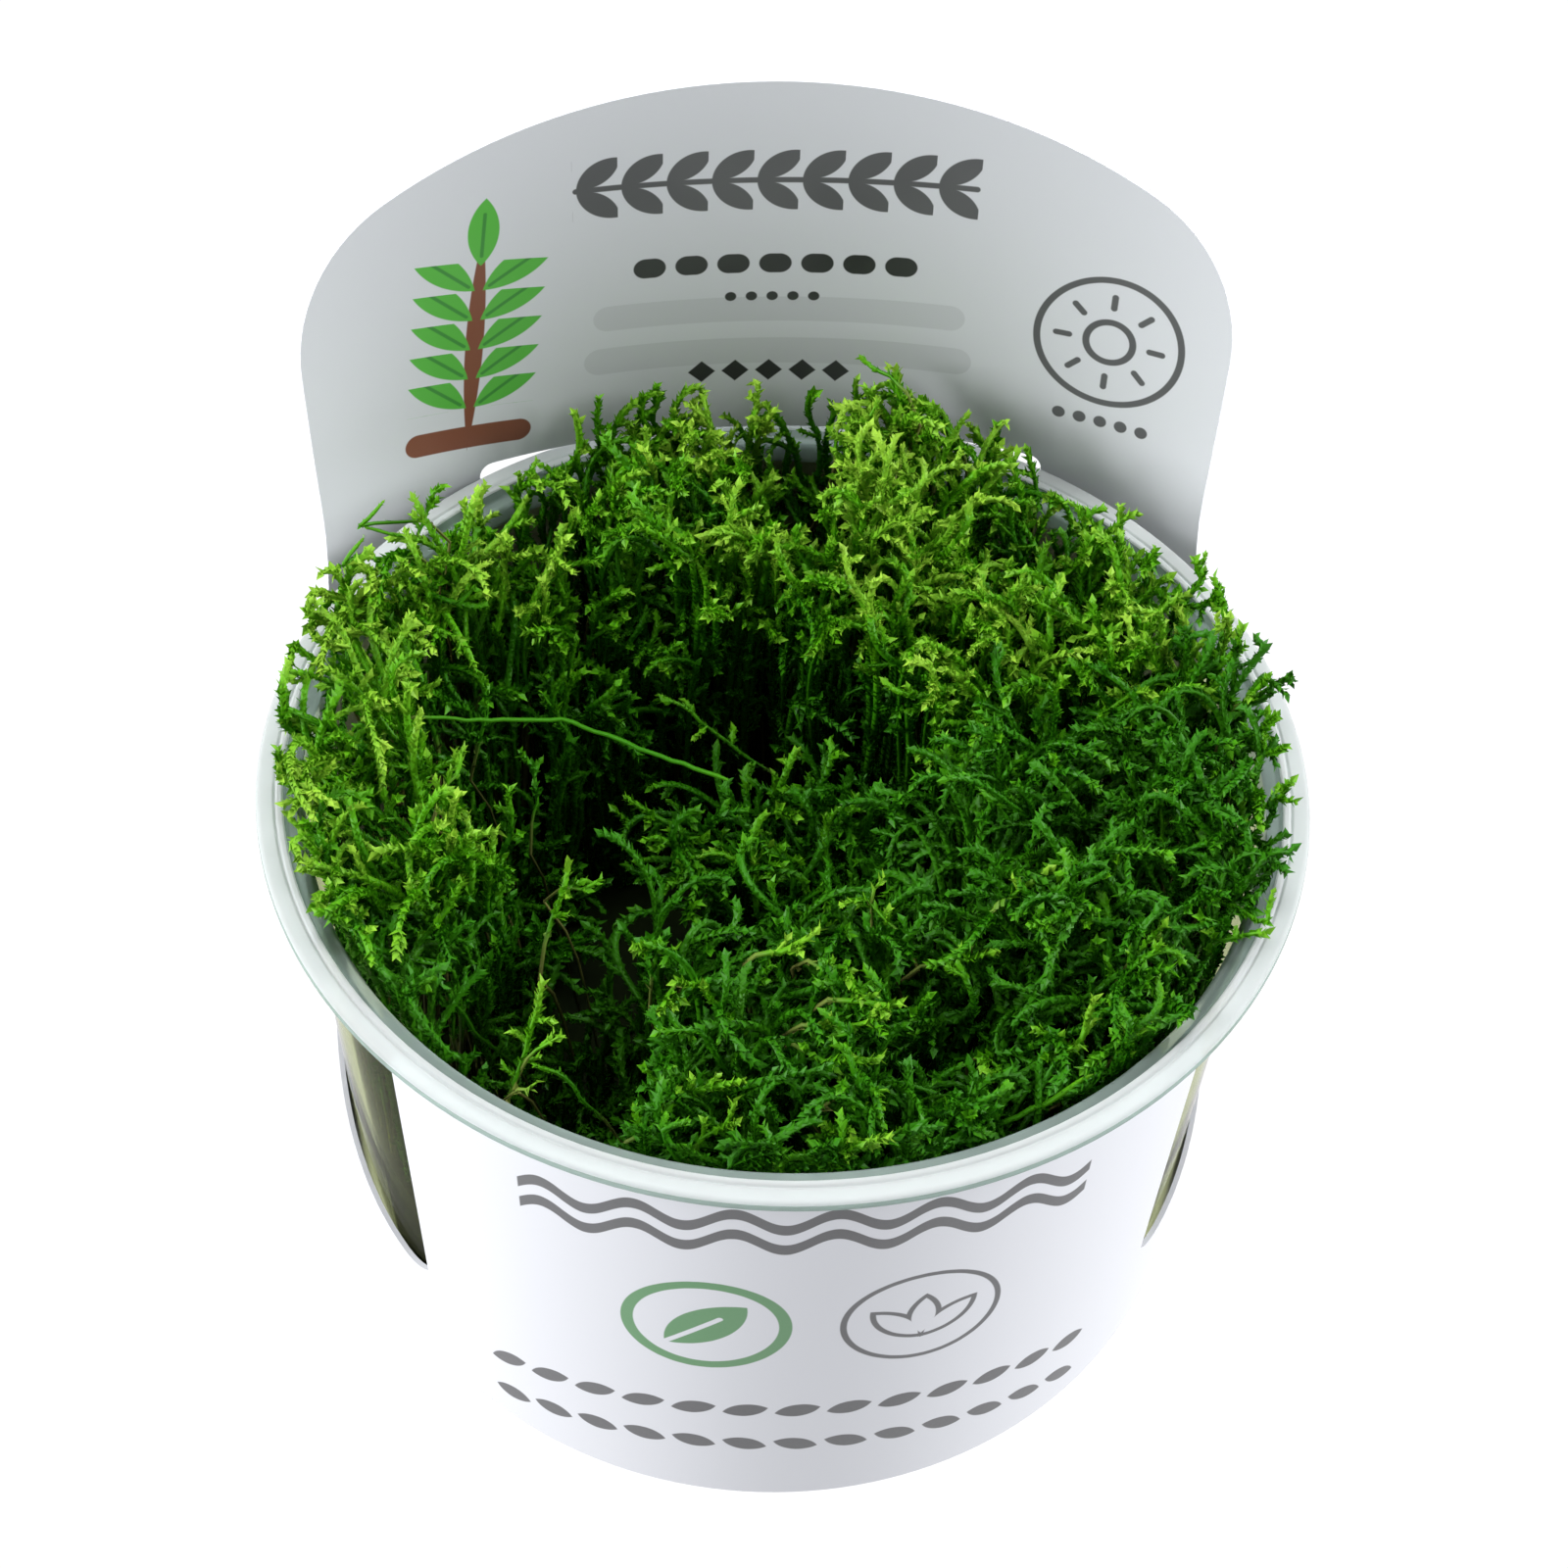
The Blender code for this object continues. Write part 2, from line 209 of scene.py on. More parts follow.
@dataclass(frozen=True)
class Finish:
    """A material; each kind of surface has its own subclass."""

    name: str

    def make(self) -> bpy.types.Material:
        """Return the finished material."""
        material = bpy.data.materials.new(self.name)
        material.use_nodes = True
        graph = Graph(material.node_tree)
        self.paint(graph, material.node_tree.nodes["Principled BSDF"])
        return material

    def paint(self, graph: Graph, shader: bpy.types.Node) -> None:
        """Wire the shader.

        Args:
            graph: the material's graph.
            shader: its Principled BSDF.
        """
        raise NotImplementedError

    @staticmethod
    def set_constants(graph: Graph, shader: bpy.types.Node, values: dict[str, Any]) -> None:
        """Set or link the shader's sockets: a value or a wire for each socket's name."""
        for name, value in values.items():
            graph.feed(shader.inputs[name], value)

    @staticmethod
    def bump(graph: Graph, height: Wire, strength: float, depth: float) -> Wire:
        """Return the normal bent by a relief from 0 to 1, whose depth is in metres."""
        return graph.node("ShaderNodeBump", None,
                          {"Strength": strength, "Distance": depth, "Height": height})


@dataclass(frozen=True)
class ClearPlastic(Finish):
    """Clear, faintly cloudy moulded plastic."""

    tint: Colour = (0.46, 0.50, 0.28)
    clearness: float = 0.97
    bend: float = 1.02
    haze: tuple[float, float] = (0.00, 0.05)
    ripple_pitch: float = 9.0 * MM
    ripple_strength: float = 0.15
    ripple_depth: float = 0.04 * MM

    def paint(self, graph: Graph, shader: bpy.types.Node) -> None:
        """Wire the shader.

        Args:
            graph: the material's graph.
            shader: its Principled BSDF.
        """
        place = graph.node("ShaderNodeTexCoord", out="Object")
        cloud = graph.noise(place, self.ripple_pitch, 3.0)
        low, high = self.haze
        self.set_constants(graph, shader, {
            "Base Color": self.tint,
            "Transmission Weight": self.clearness,
            "IOR": self.bend,
            "Roughness": cloud * (high - low) + low,
            "Normal": self.bump(graph, cloud, self.ripple_strength, self.ripple_depth),
        })


@dataclass(frozen=True)
class CultureJelly(Finish):
    """Wet culture gel with darker clouds in it, nearly black: partly its own colour, partly painted shade
    of the deep hollow.
    """

    # Both colours are kept nearly black, partly as painted shade of the hollow.
    light: Colour = (0.012, 0.018, 0.004)
    dark: Colour = (0.003, 0.008, 0.002)
    cloud_pitch: float = 8.0 * MM
    clearness: float = 0.04
    bend: float = 1.34
    gloss: float = 0.05
    haze: tuple[float, float] = (0.45, 0.75)
    lump_strength: float = 0.4
    lump_depth: float = 0.4 * MM

    def paint(self, graph: Graph, shader: bpy.types.Node) -> None:
        """Wire the shader.

        Args:
            graph: the material's graph.
            shader: its Principled BSDF.
        """
        place = graph.node("ShaderNodeTexCoord", out="Object")
        cloud = graph.noise(place, self.cloud_pitch, 4.0)
        low, high = self.haze
        self.set_constants(graph, shader, {
            "Base Color": graph.mix(cloud, self.dark, self.light),
            "Transmission Weight": self.clearness,
            "IOR": self.bend,
            "Specular IOR Level": self.gloss,
            "Roughness": cloud * (high - low) + low,
            "Normal": self.bump(graph, cloud, self.lump_strength, self.lump_depth),
        })


@dataclass(frozen=True)
class LivingMoss(Finish):
    """Moist leaves, yellow-green at the tips and nearly black deep down; the deep darkness is partly
    painted shade carried by the colour value.
    """

    # Ramp from deep leaves to young tips; its dark end stands for older leaves and for painted shade.
    stops: tuple[tuple[float, Colour], ...] = (
        (0.00, (0.026, 0.120, 0.001)),
        (0.20, (0.030, 0.165, 0.001)),
        (0.45, (0.026, 0.170, 0.001)),
        (0.70, (0.090, 0.330, 0.003)),
        (1.00, (0.290, 0.520, 0.040)),
    )
    bare_stem: tuple[Colour, Colour] = ((0.016, 0.022, 0.003), (0.170, 0.180, 0.045))
    roughness: float = 0.50
    gloss: float = 0.20
    lighter_tip: float = 0.10
    browner_stem: float = 1.6
    leafy_gain: float = 3.0

    def paint(self, graph: Graph, shader: bpy.types.Node) -> None:
        """Wire the shader.

        Args:
            graph: the material's graph.
            shader: its Principled BSDF.
        """
        # This value holds the leaves' age with painted shade from depth and painted light near the wall.
        youth = graph.node("ShaderNodeAttribute", {"attribute_name": "youth"}, out="Fac")
        blade = graph.node("ShaderNodeAttribute", {"attribute_name": "blade"}, out="Fac")
        age_and_shade = youth + blade * self.lighter_tip
        leafy = graph.node("ShaderNodeAttribute", {"attribute_name": "leafy"}, out="Fac")
        green = graph.node("ShaderNodeValToRGB", {"stops": list(self.stops)}, {"Fac": age_and_shade}, "Color")
        # Bare stems get the same painted shade and light through this value.
        brown = graph.mix(age_and_shade * self.browner_stem, *self.bare_stem)
        colour = graph.mix((leafy * self.leafy_gain).at_most(1.0), brown, green)
        self.set_constants(graph, shader, {
            "Base Color": colour,
            "Roughness": self.roughness,
            "Specular IOR Level": self.gloss,
        })


@dataclass(frozen=True)
class PaleFloor(Finish):
    """Studio floor that glows evenly, so that nothing casts a shadow on it."""

    colour: Colour = (0.0, 0.0, 0.0)
    glow: Colour = (1.06, 1.06, 1.07)

    def paint(self, graph: Graph, shader: bpy.types.Node) -> None:
        """Wire the shader."""
        self.set_constants(graph, shader, {"Base Color": self.colour, "Specular IOR Level": 0.0,
                                           "Emission Color": self.glow, "Emission Strength": 1.0})


class Stencil:
    """Shapes printed on a flat sheet, each a mask that is 1 where there is ink.

    Places and sizes are in mm. Every shape starts as its signed distance, which
    is below nil inside the shape.
    """

    EDGE = 0.10

    def __init__(self, graph: Graph, across: Any, up: Any) -> None:
        """Keep the graph and the sheet's two coordinates, wires in mm."""
        self.graph = graph
        self.across = across
        self.up = up

    def moved(self, across: float, up: float, turn: float = 0.0) -> "Stencil":
        """Move and turn the sheet's coordinates.

        Args:
            across: place of the new origin.
            up: place of the new origin.
            turn: angle in degrees from the old across axis to the new one.

        Returns:
            The stencil on its new coordinates.
        """
        right = self.across - across
        rise = self.up - up
        if turn == 0.0:
            return Stencil(self.graph, right, rise)
        cosine = math.cos(math.radians(turn))
        sine = math.sin(math.radians(turn))
        return Stencil(self.graph, right * cosine + rise * sine, rise * cosine - right * sine)

    def mirrored(self) -> "Stencil":
        """Return the stencil whose right half shows on both sides."""
        return Stencil(self.graph, abs(self.across), self.up)

    def repeated(self, pitch: float) -> "Stencil":
        """Return the stencil with what stands at its middle repeated sideways."""
        return Stencil(self.graph, self.across.wrapped(pitch), self.up)

    def stacked(self, pitch: float) -> "Stencil":
        """Return the stencil with what stands at its middle repeated upwards."""
        return Stencil(self.graph, self.across, self.up.wrapped(pitch))

    @staticmethod
    def length(across: Any, up: Any) -> Wire:
        """Return the length of a sideways and an upward distance."""
        return (across * across + up * up).math("SQRT")

    def ink(self, distance: Wire) -> Wire:
        """Return the mask of a signed distance, with a soft edge."""
        return self.graph.node("ShaderNodeMath", {"operation": "ADD", "use_clamp": True},
                               {0: distance * (-1.0 / self.EDGE), 1: 0.5})

    def disc(self, radius: float) -> Wire:
        """Return a disc round the origin."""
        return self.ink(self.length(self.across, self.up) - radius)

    def ring(self, radius: float, width: float) -> Wire:
        """Return a ring round the origin, its radius to the middle of its line."""
        return self.ink(abs(self.length(self.across, self.up) - radius) - width / 2)

    def bar(self, length: float, width: float) -> Wire:
        """Return a level bar with round ends round the origin."""
        over = (abs(self.across) - (length - width) / 2).at_least(0.0)
        return self.ink(self.length(over, self.up) - width / 2)

    def leaf(self, length: float, width: float) -> Wire:
        """Return a pointed leaf that lies along the across axis, its stalk at the origin."""
        return self.ink(self.leaf_edge(length, width))

    def leaf_edge(self, length: float, width: float) -> Wire:
        """Return the signed distance to a leaf's edge."""
        half = length / 2
        radius = (half ** 2 + (width / 2) ** 2) / width
        low = abs(self.up) + (radius - width / 2)
        return self.length(self.across - half, low) - radius

    def sprout(self, length: float, line: float) -> Wire:
        """Return the outline of three leaves that fan out of one point."""
        left, middle, right = (self.moved(0.0, -length / 2, turn).leaf_edge(length, length * 0.4)
                               for turn in (132.0, 90.0, 48.0))
        return self.ink(abs(middle.at_most(left).at_most(right)) - line / 2)

    def window(self, length: float, height: float) -> Wire:
        """Return a mask that is 1 inside a rectangle round the origin."""
        wide = self.ink(abs(self.across) - length / 2)
        return wide * self.ink(abs(self.up) - height / 2)


# Middles of the two rows that are printed outside and show faintly through the card, in mm
UPPER_ROW = (1.5, 73.6)
LOWER_ROW = (1.5, 68.4)


@dataclass(frozen=True)
class Ink:
    """The print's colours."""

    grey: Colour = (0.085, 0.085, 0.092)
    black: Colour = (0.012, 0.012, 0.013)
    green: Colour = (0.085, 0.260, 0.095)
    leaf: Colour = (0.085, 0.460, 0.040)
    dark_leaf: Colour = (0.030, 0.250, 0.025)
    bark: Colour = (0.210, 0.055, 0.022)


@dataclass
class Face:
    """One face of the card: places in mm from the middle of the back, and what is printed so far."""

    across: Wire
    up: Wire
    here: Wire
    colour: Any

    @property
    def sheet(self) -> Stencil:
        """Return the stencil of the whole face."""
        return Stencil(self.here.graph, self.across, self.up)

    def press(self, mask: Wire, ink: Colour) -> None:
        """Print a mask in one colour."""
        self.colour = self.here.graph.mix(mask * self.here, self.colour, ink)


@dataclass(frozen=True)
class PrintedCard(Finish):
    """White coated card with a plain leafy print on its front and back panel."""

    half_length: float = 0.135
    height: float = 0.1
    white: Colour = (0.70, 0.715, 0.765)
    mottle: Colour = (0.70, 0.73, 0.74)
    mottle_share: float = 0.10
    mottle_pitch: float = 14.0 * MM
    fibre_pitch: float = 0.35 * MM
    fibre_strength: float = 0.12
    fibre_depth: float = 0.03 * MM
    haze: tuple[float, float] = (0.34, 0.50)
    gloss: float = 0.4
    show_through: float = 0.16
    row_sag: float = 0.006
    inks: Ink = field(default_factory=Ink)

    def paint(self, graph: Graph, shader: bpy.types.Node) -> None:
        """Wire the shader.

        Args:
            graph: the material's graph.
            shader: its Principled BSDF.
        """
        sheet = graph.node("ShaderNodeUVMap", {"uv_map": "sheet"})
        split = graph.node("ShaderNodeSeparateXYZ", None, {"Vector": sheet}, "X")
        level = Wire(graph, split.socket.node.outputs["Y"])
        across = (split - 0.5) * (2.0 * self.half_length / MM)
        inside = level.math("GREATER_THAN", Side.INSIDE.value)
        up = (level - inside * Side.INSIDE.value) * (2.0 * self.height / MM)

        inner = Face(across, up, inside, self.white)
        self.print_panel(inner)
        self.print_sprig(inner)
        outer = Face(across, up, 1.0 - inside, inner.colour)
        self.print_front(outer)
        self.print_back(outer)

        place = graph.node("ShaderNodeTexCoord", out="Object")
        fibre = graph.noise(place, self.fibre_pitch, 3.0)
        mottle = graph.noise(place, self.mottle_pitch, 2.0)
        colour = graph.mix(mottle * self.mottle_share, outer.colour, self.mottle)
        low, high = self.haze
        self.set_constants(graph, shader, {
            "Base Color": colour,
            "Roughness": fibre * (high - low) + low,
            "Specular IOR Level": self.gloss,
            "Normal": self.bump(graph, fibre, self.fibre_strength, self.fibre_depth),
        })

    def print_panel(self, face: Face) -> None:
        """Print the back panel's inner face, where the outer rows show through.

        Args:
            face: the card's inner face.
        """
        sheet = face.sheet
        inks = self.inks
        through = sheet.moved(*UPPER_ROW).bar(36.0, 3.0).at_least(sheet.moved(*LOWER_ROW).bar(38.0, 3.2))
        face.press(through * self.show_through, inks.grey)
        face.press(self.garland(sheet.moved(0.8, 89.0), 38.0, 7.0), inks.grey)

        beads = sheet.moved(1.0, 79.2)
        dots = beads.repeated(4.0).bar(3.1, 2.3) * beads.window(28.0, 6.0)
        small = sheet.moved(0.8, 75.2)
        dots = dots.at_least(small.repeated(2.0).disc(0.55) * small.window(10.0, 3.0))
        gems = sheet.moved(0.7, 65.9)
        diamond = gems.repeated(3.3).moved(0.0, 0.0, 45.0)
        square = diamond.ink(abs(diamond.across).at_least(abs(diamond.up)) - 0.95)
        face.press(dots.at_least(square * gems.window(16.5, 6.0)), inks.black)

        badge = sheet.moved(33.6, 74.0)
        sun = badge.ring(7.1, 0.7).at_least(badge.ring(2.3, 0.7))
        for ray in range(8):
            turned = badge.moved(0.0, 0.0, 45.0 * ray)
            sun = sun.at_least(turned.moved(4.6, 0.0).bar(1.9, 0.65))
        under = sheet.moved(33.8, 64.6)
        face.press(sun.at_least(under.repeated(2.1).disc(0.65) * under.window(10.5, 3.0)), inks.grey)

    def print_sprig(self, face: Face) -> None:
        """Print the coloured sprig on the left of the back panel.

        Args:
            face: the card's inner face.
        """
        inks = self.inks
        foot = face.sheet.moved(-29.6, 62.0, -7.0)
        stem = foot.moved(0.0, -1.0, 90.0).leaf(25.0, 1.8).at_least(foot.moved(0.0, 0.5).bar(13.0, 2.6))
        face.press(stem, inks.bark)

        rows = foot.moved(0.0, 12.4)
        blades = rows.stacked(3.4).mirrored().moved(0.4, -1.6, 38.0)
        light = blades.leaf(8.8, 3.1) * rows.window(22.0, 17.0)
        face.press(light, inks.leaf)
        crown = foot.moved(0.0, 20.4, 90.0)
        face.press(crown.leaf(7.5, 3.0), inks.leaf)
        face.press(blades.moved(3.6, 0.0).bar(6.0, 0.35) * light, inks.dark_leaf)
        face.press(crown.moved(3.4, 0.0).bar(5.0, 0.35), inks.dark_leaf)

    def print_front(self, face: Face) -> None:
        """Print the front's outer face, whose rows sag a little towards the sides.

        Args:
            face: the card's outer face.
        """
        inks = self.inks
        front = (self.half_length / MM - abs(face.across)) * face.across.math("SIGN")
        sheet = Stencil(front.graph, front, face.up + front * front * self.row_sag)

        waves = sheet.moved(0.0, 49.4)
        swing = (waves.across * (2.0 * math.pi / 8.4)).math("SINE") * 1.2
        water = waves.ink(abs(abs(waves.up - swing) - 1.6) - 0.8) * waves.window(50.4, 9.0)
        face.press(water, inks.grey)

        green = sheet.moved(-8.6, 33.0)
        blade = green.moved(-3.6, -3.6, 45.0)
        disc = green.ring(7.0, 1.15).at_least(blade.leaf(10.2, 5.0))
        face.press(disc * (1.0 - blade.moved(3.4, 0.0).bar(7.6, 0.6)), inks.green)
        grey = sheet.moved(10.6, 33.0)
        face.press(grey.ring(7.2, 0.6).at_least(grey.sprout(7.0, 0.55)), inks.grey)

        pitch = 4.8
        first = sheet.moved(0.0, 17.6)
        second = sheet.moved(0.0, 11.0)
        leaves = first.repeated(pitch).moved(-2.1, -0.5, 14.0).leaf(4.3, 2.2)
        more = second.repeated(pitch).moved(2.1, -0.5, 166.0).leaf(4.3, 2.2)
        leaves *= first.window(13 * pitch, 5.0)
        face.press(leaves.at_least(more * second.window(13 * pitch, 5.0)), inks.grey)

    def print_back(self, face: Face) -> None:
        """Print the back panel's outer face, whose rows show faintly through the card.

        Args:
            face: the card's outer face.
        """
        sheet = face.sheet
        rows = sheet.moved(*UPPER_ROW)
        upper = rows.repeated(6.0).bar(4.6, 2.0) * rows.window(30.0, 4.0)
        rows = sheet.moved(*LOWER_ROW)
        lower = rows.repeated(7.6).bar(6.0, 2.2) * rows.window(38.0, 4.0)
        marks = upper.at_least(lower).at_least(self.garland(sheet.moved(0.0, 84.0), 38.0, 6.0))
        face.press(marks, self.inks.grey)

    @staticmethod
    def garland(sheet: Stencil, length: float, height: float) -> Wire:
        """Draw a level stem with slanted leaves above and below it.

        Args:
            sheet: stencil with its origin at the garland's middle.
            length: of the whole garland.
            height: of the whole garland.

        Returns:
            The garland's mask.
        """
        pitch = length / 9.0
        stem = sheet.bar(length, height * 0.09)
        folded = Stencil(sheet.graph, sheet.across.wrapped(pitch), abs(sheet.up))
        blades = folded.moved(-pitch * 0.42, 0.15, 38.0).leaf(height * 0.75, height * 0.33)
        return stem.at_least(blades * sheet.window(length, height * 1.2))


def arc_points(centre: tuple[float, float], radius: float, start: float, end: float, steps: int) -> Outline:
    """Return points on a circle between two angles in degrees, both ends included."""
    angles = [math.radians(start + (end - start) * step / steps) for step in range(steps + 1)]
    return [(centre[0] + radius * math.cos(a), centre[1] + radius * math.sin(a)) for a in angles]


def bowed(first: Vector, pull: Vector, last: Vector, share: float) -> Vector:
    """Return a point of the curve from one point to another that bows towards a third."""
    return first * (1 - share) ** 2 + pull * 2 * share * (1 - share) + last * share ** 2


def clamped(value: float, low: float = 0.0, high: float = 1.0) -> float:
    """Return the value, kept between two limits."""
    return min(max(value, low), high)


def distances(line: list[Vector]) -> list[float]:
    """Return how far along a line each of its points lies."""
    gone = [0.0]
    for first, second in zip(line, line[1:]):
        gone.append(gone[-1] + (second - first).length)
    return gone


def rounded(corners: list[tuple[float, float, float]], steps: int = 4) -> Outline:
    """Round the corners of an open line.

    Args:
        corners: across, up and radius of each corner; the two ends stay sharp.
        steps: number of straight stretches in each rounding.

    Returns:
        The line's points.
    """
    line = [corners[0][:2]]
    for before, corner, after in zip(corners, corners[1:], corners[2:]):
        here = Vector(corner[:2])
        back = Vector(before[:2]) - here
        ahead = Vector(after[:2]) - here
        reach = min(corner[2], back.length * 0.49, ahead.length * 0.49)
        if reach <= 0.0:
            line.append(tuple(here))
            continue
        first = here + back.normalized() * reach
        last = here + ahead.normalized() * reach
        for step in range(steps + 1):
            line.append(tuple(bowed(first, here, last, step / steps)))
    line.append(corners[-1][:2])
    return line


def add_object(name: str, data: bpy.types.ID) -> bpy.types.Object:
    """Return a new object in the scene."""
    made = bpy.data.objects.new(name, data)
    bpy.context.scene.collection.objects.link(made)
    return made


def finished_mesh(name: str, made: bmesh.types.BMesh) -> bpy.types.Mesh:
    """Return a plain mesh with what was edited, and close the edit."""
    mesh = bpy.data.meshes.new(name)
    made.to_mesh(mesh)
    made.free()
    return mesh


def evaluated_mesh(source: bpy.types.Object) -> bpy.types.Mesh:
    """Return an object's mesh with its modifiers applied, and remove the object."""
    mesh = bpy.data.meshes.new_from_object(source.evaluated_get(bpy.context.evaluated_depsgraph_get()))
    bpy.data.objects.remove(source, do_unlink=True)
    return mesh


def turned_mesh(name: str, profile: Outline, segments: int) -> bpy.types.Mesh:
    """Turn a profile round the Z axis.

    Args:
        name: the mesh's name.
        profile: radius and height of its points; the first and last lie on the axis.
        segments: number of steps round the axis.

    Returns:
        A closed mesh with its faces pointing outwards.
    """
    made = bmesh.new()
    rings: list[list[bmesh.types.BMVert]] = []
    for radius, height in profile:
        if radius < TOUCH:
            rings.append([made.verts.new((0.0, 0.0, height))])
            continue
        turns = [2.0 * math.pi * step / segments for step in range(segments)]
        rings.append([made.verts.new((radius * math.cos(t), radius * math.sin(t), height)) for t in turns])
    for low, high in zip(rings, rings[1:]):
        for step in range(segments):
            after = (step + 1) % segments
            corners = [low[step % len(low)], low[after % len(low)],
                       high[after % len(high)], high[step % len(high)]]
            made.faces.new(list(dict.fromkeys(corners)))
    bmesh.ops.recalc_face_normals(made, faces=made.faces)
    mesh = finished_mesh(name, made)
    mesh.shade_smooth()
    mesh.set_sharp_from_angle(angle=math.radians(40.0))
    return mesh


def add_piece(name: str, mesh: bpy.types.Mesh, material: bpy.types.Material,
              node: str) -> bpy.types.Object:
    """Put a finished mesh in the scene in the place of a solid.

    Args:
        name: the piece's name.
        mesh: its mesh, in place.
        material: its finish.
        node: the solid that it stands for.

    Returns:
        The piece.
    """
    mesh.materials.clear()
    mesh.materials.append(material)
    piece = add_object(name, mesh)
    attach(piece, "root")
    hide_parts(node)
    mesh.calc_loop_triangles()
    LOG.info("%s: %d triangles", name, len(mesh.loop_triangles))
    return piece


@dataclass
class CultureCup:
    """The clear cup: tapered wall, flat rim with a turned-down edge, and a lid ledge."""

    rim_radius: float = 47.5 * MM
    rim_top: float = 58.1 * MM
    rim_plate: float = 0.8 * MM
    edge_drop: float = 1.1 * MM
    lip_radius: float = 45.1 * MM
    ledge_top: float = 57.0 * MM
    wall_top_radius: float = 44.0 * MM
    wall_top: float = 55.7 * MM
    wall_foot_radius: float = 41.2 * MM
    wall_foot: float = 1.6 * MM
    wall: float = 0.9 * MM
    floor: float = 1.0 * MM
    foot_radius: float = 40.0 * MM
    segments: int = 160

    def wall_radius(self, height: float) -> float:
        """Return the outer radius of the tapered wall at a height."""
        share = (height - self.wall_foot) / (self.wall_top - self.wall_foot)
        return self.wall_foot_radius + (self.wall_top_radius - self.wall_foot_radius) * share

    def profile(self) -> Outline:
        """Work out the cup's section.

        Returns:
            Radius and height of its points, from the underside's centre round the
            outside and the rim to the inside's centre.
        """
        under = self.rim_top - self.rim_plate
        edge = self.rim_top - self.edge_drop
        soft = 0.25 * MM
        large = 1.2 * MM
        crisp = 0.1 * MM
        wall = self.wall
        corners = [
            (0.0, 0.0, 0.0),
            (self.foot_radius, 0.0, soft),
            (self.wall_foot_radius - 0.4 * MM, 0.4 * MM, large),
            (self.wall_foot_radius, self.wall_foot, soft),
            (self.wall_top_radius, self.wall_top, soft),
            (self.wall_top_radius + 0.3 * MM, self.ledge_top - 0.9 * MM, soft),
            (self.lip_radius + 0.5 * MM, self.ledge_top - 0.7 * MM, soft),
            (self.lip_radius + 0.6 * MM, under, soft),
            (self.rim_radius - wall, under, soft),
            (self.rim_radius - wall, edge, soft),
            (self.rim_radius, edge, soft),
            (self.rim_radius, self.rim_top, 0.5 * MM),
            (self.lip_radius + 0.9 * MM, self.rim_top, crisp),
            (self.lip_radius + 0.7 * MM, self.rim_top - 0.2 * MM, crisp),
            (self.lip_radius + 0.5 * MM, self.rim_top, crisp),
            (self.lip_radius, self.rim_top, 0.2 * MM),
            (self.lip_radius - 0.3 * MM, self.ledge_top, soft),
            (self.wall_top_radius - wall + 0.5 * MM, self.ledge_top, 0.4 * MM),
            (self.wall_top_radius - wall, self.wall_top, soft),
            (self.wall_foot_radius - wall, self.floor + 1.4 * MM, large),
            (self.foot_radius - 1.0 * MM, self.floor, large),
            (0.0, self.floor, 0.0),
        ]
        return rounded(corners)

    def build(self, clear: Finish, milky: Finish, edge: Finish, ledge: Finish) -> bpy.types.Object:
        """Finish the cup.

        Args:
            clear: finish of its wall and floor.
            milky: finish of the flat of its rim.
            edge: finish of the rim's turned-down edge, tinted darker grey-green as painted shade of light
                bending through it.
            ledge: finish of the lid ledge inside the rim, tinted darker as painted shade.

        Returns:
            The cup.
        """
        mesh = turned_mesh("cup_look", self.profile(), self.segments)
        cup = add_piece("cup_look", mesh, clear.make(), "cup")
        for finish in (milky, edge, ledge):
            mesh.materials.append(finish.make())
        for face in mesh.polygons:
            outside = face.center.xy.length > self.lip_radius
            if face.center.z > self.rim_top - 0.25 * MM:
                face.material_index = 1
            # Turned-down edge and lid ledge: darker tints as painted shade.
            elif face.center.z > self.wall_top - 0.3 * MM:
                face.material_index = 2 if outside else 3
        return cup


@dataclass
class CultureGel:
    """The gel in the bottom of the cup, with a meniscus and a gently uneven top."""

    cup: CultureCup
    top: float = 21.0 * MM
    meniscus: float = 1.2 * MM
    gap: float = 0.3 * MM
    segments: int = 96
    swell: float = 0.35 * MM
    swell_pitch: float = 9.0 * MM

    def build(self, finish: Finish) -> bpy.types.Object:
        """Return the finished gel."""
        side = self.cup.wall + self.gap
        edge = self.cup.wall_radius(self.top) - side
        corner = 3.2 * MM
        low = self.cup.floor + self.gap
        profile = [(0.0, low), (self.cup.foot_radius - 1.4 * MM, low),
                   (self.cup.wall_radius(corner) - side, corner), (edge, self.top + self.meniscus)]
        for share in (0.25, 0.5, 0.75, 1.0):
            climb = (1.0 - share) ** 2 * self.meniscus
            profile.append((edge - 2.5 * self.meniscus * share, self.top + climb))
        rings = 12
        flat = profile[-1][0]
        profile += [(flat * (1.0 - ring / rings), self.top) for ring in range(1, rings + 1)]
        mesh = turned_mesh("growth_gel_look", profile, self.segments)
        for vertex in mesh.vertices:
            if vertex.co.z > self.top - TOUCH and vertex.co.xy.length < flat:
                vertex.co.z -= self.swell * abs(noise.noise(vertex.co / self.swell_pitch))
        return add_piece("growth_gel_look", mesh, finish.make(), "growth_gel")


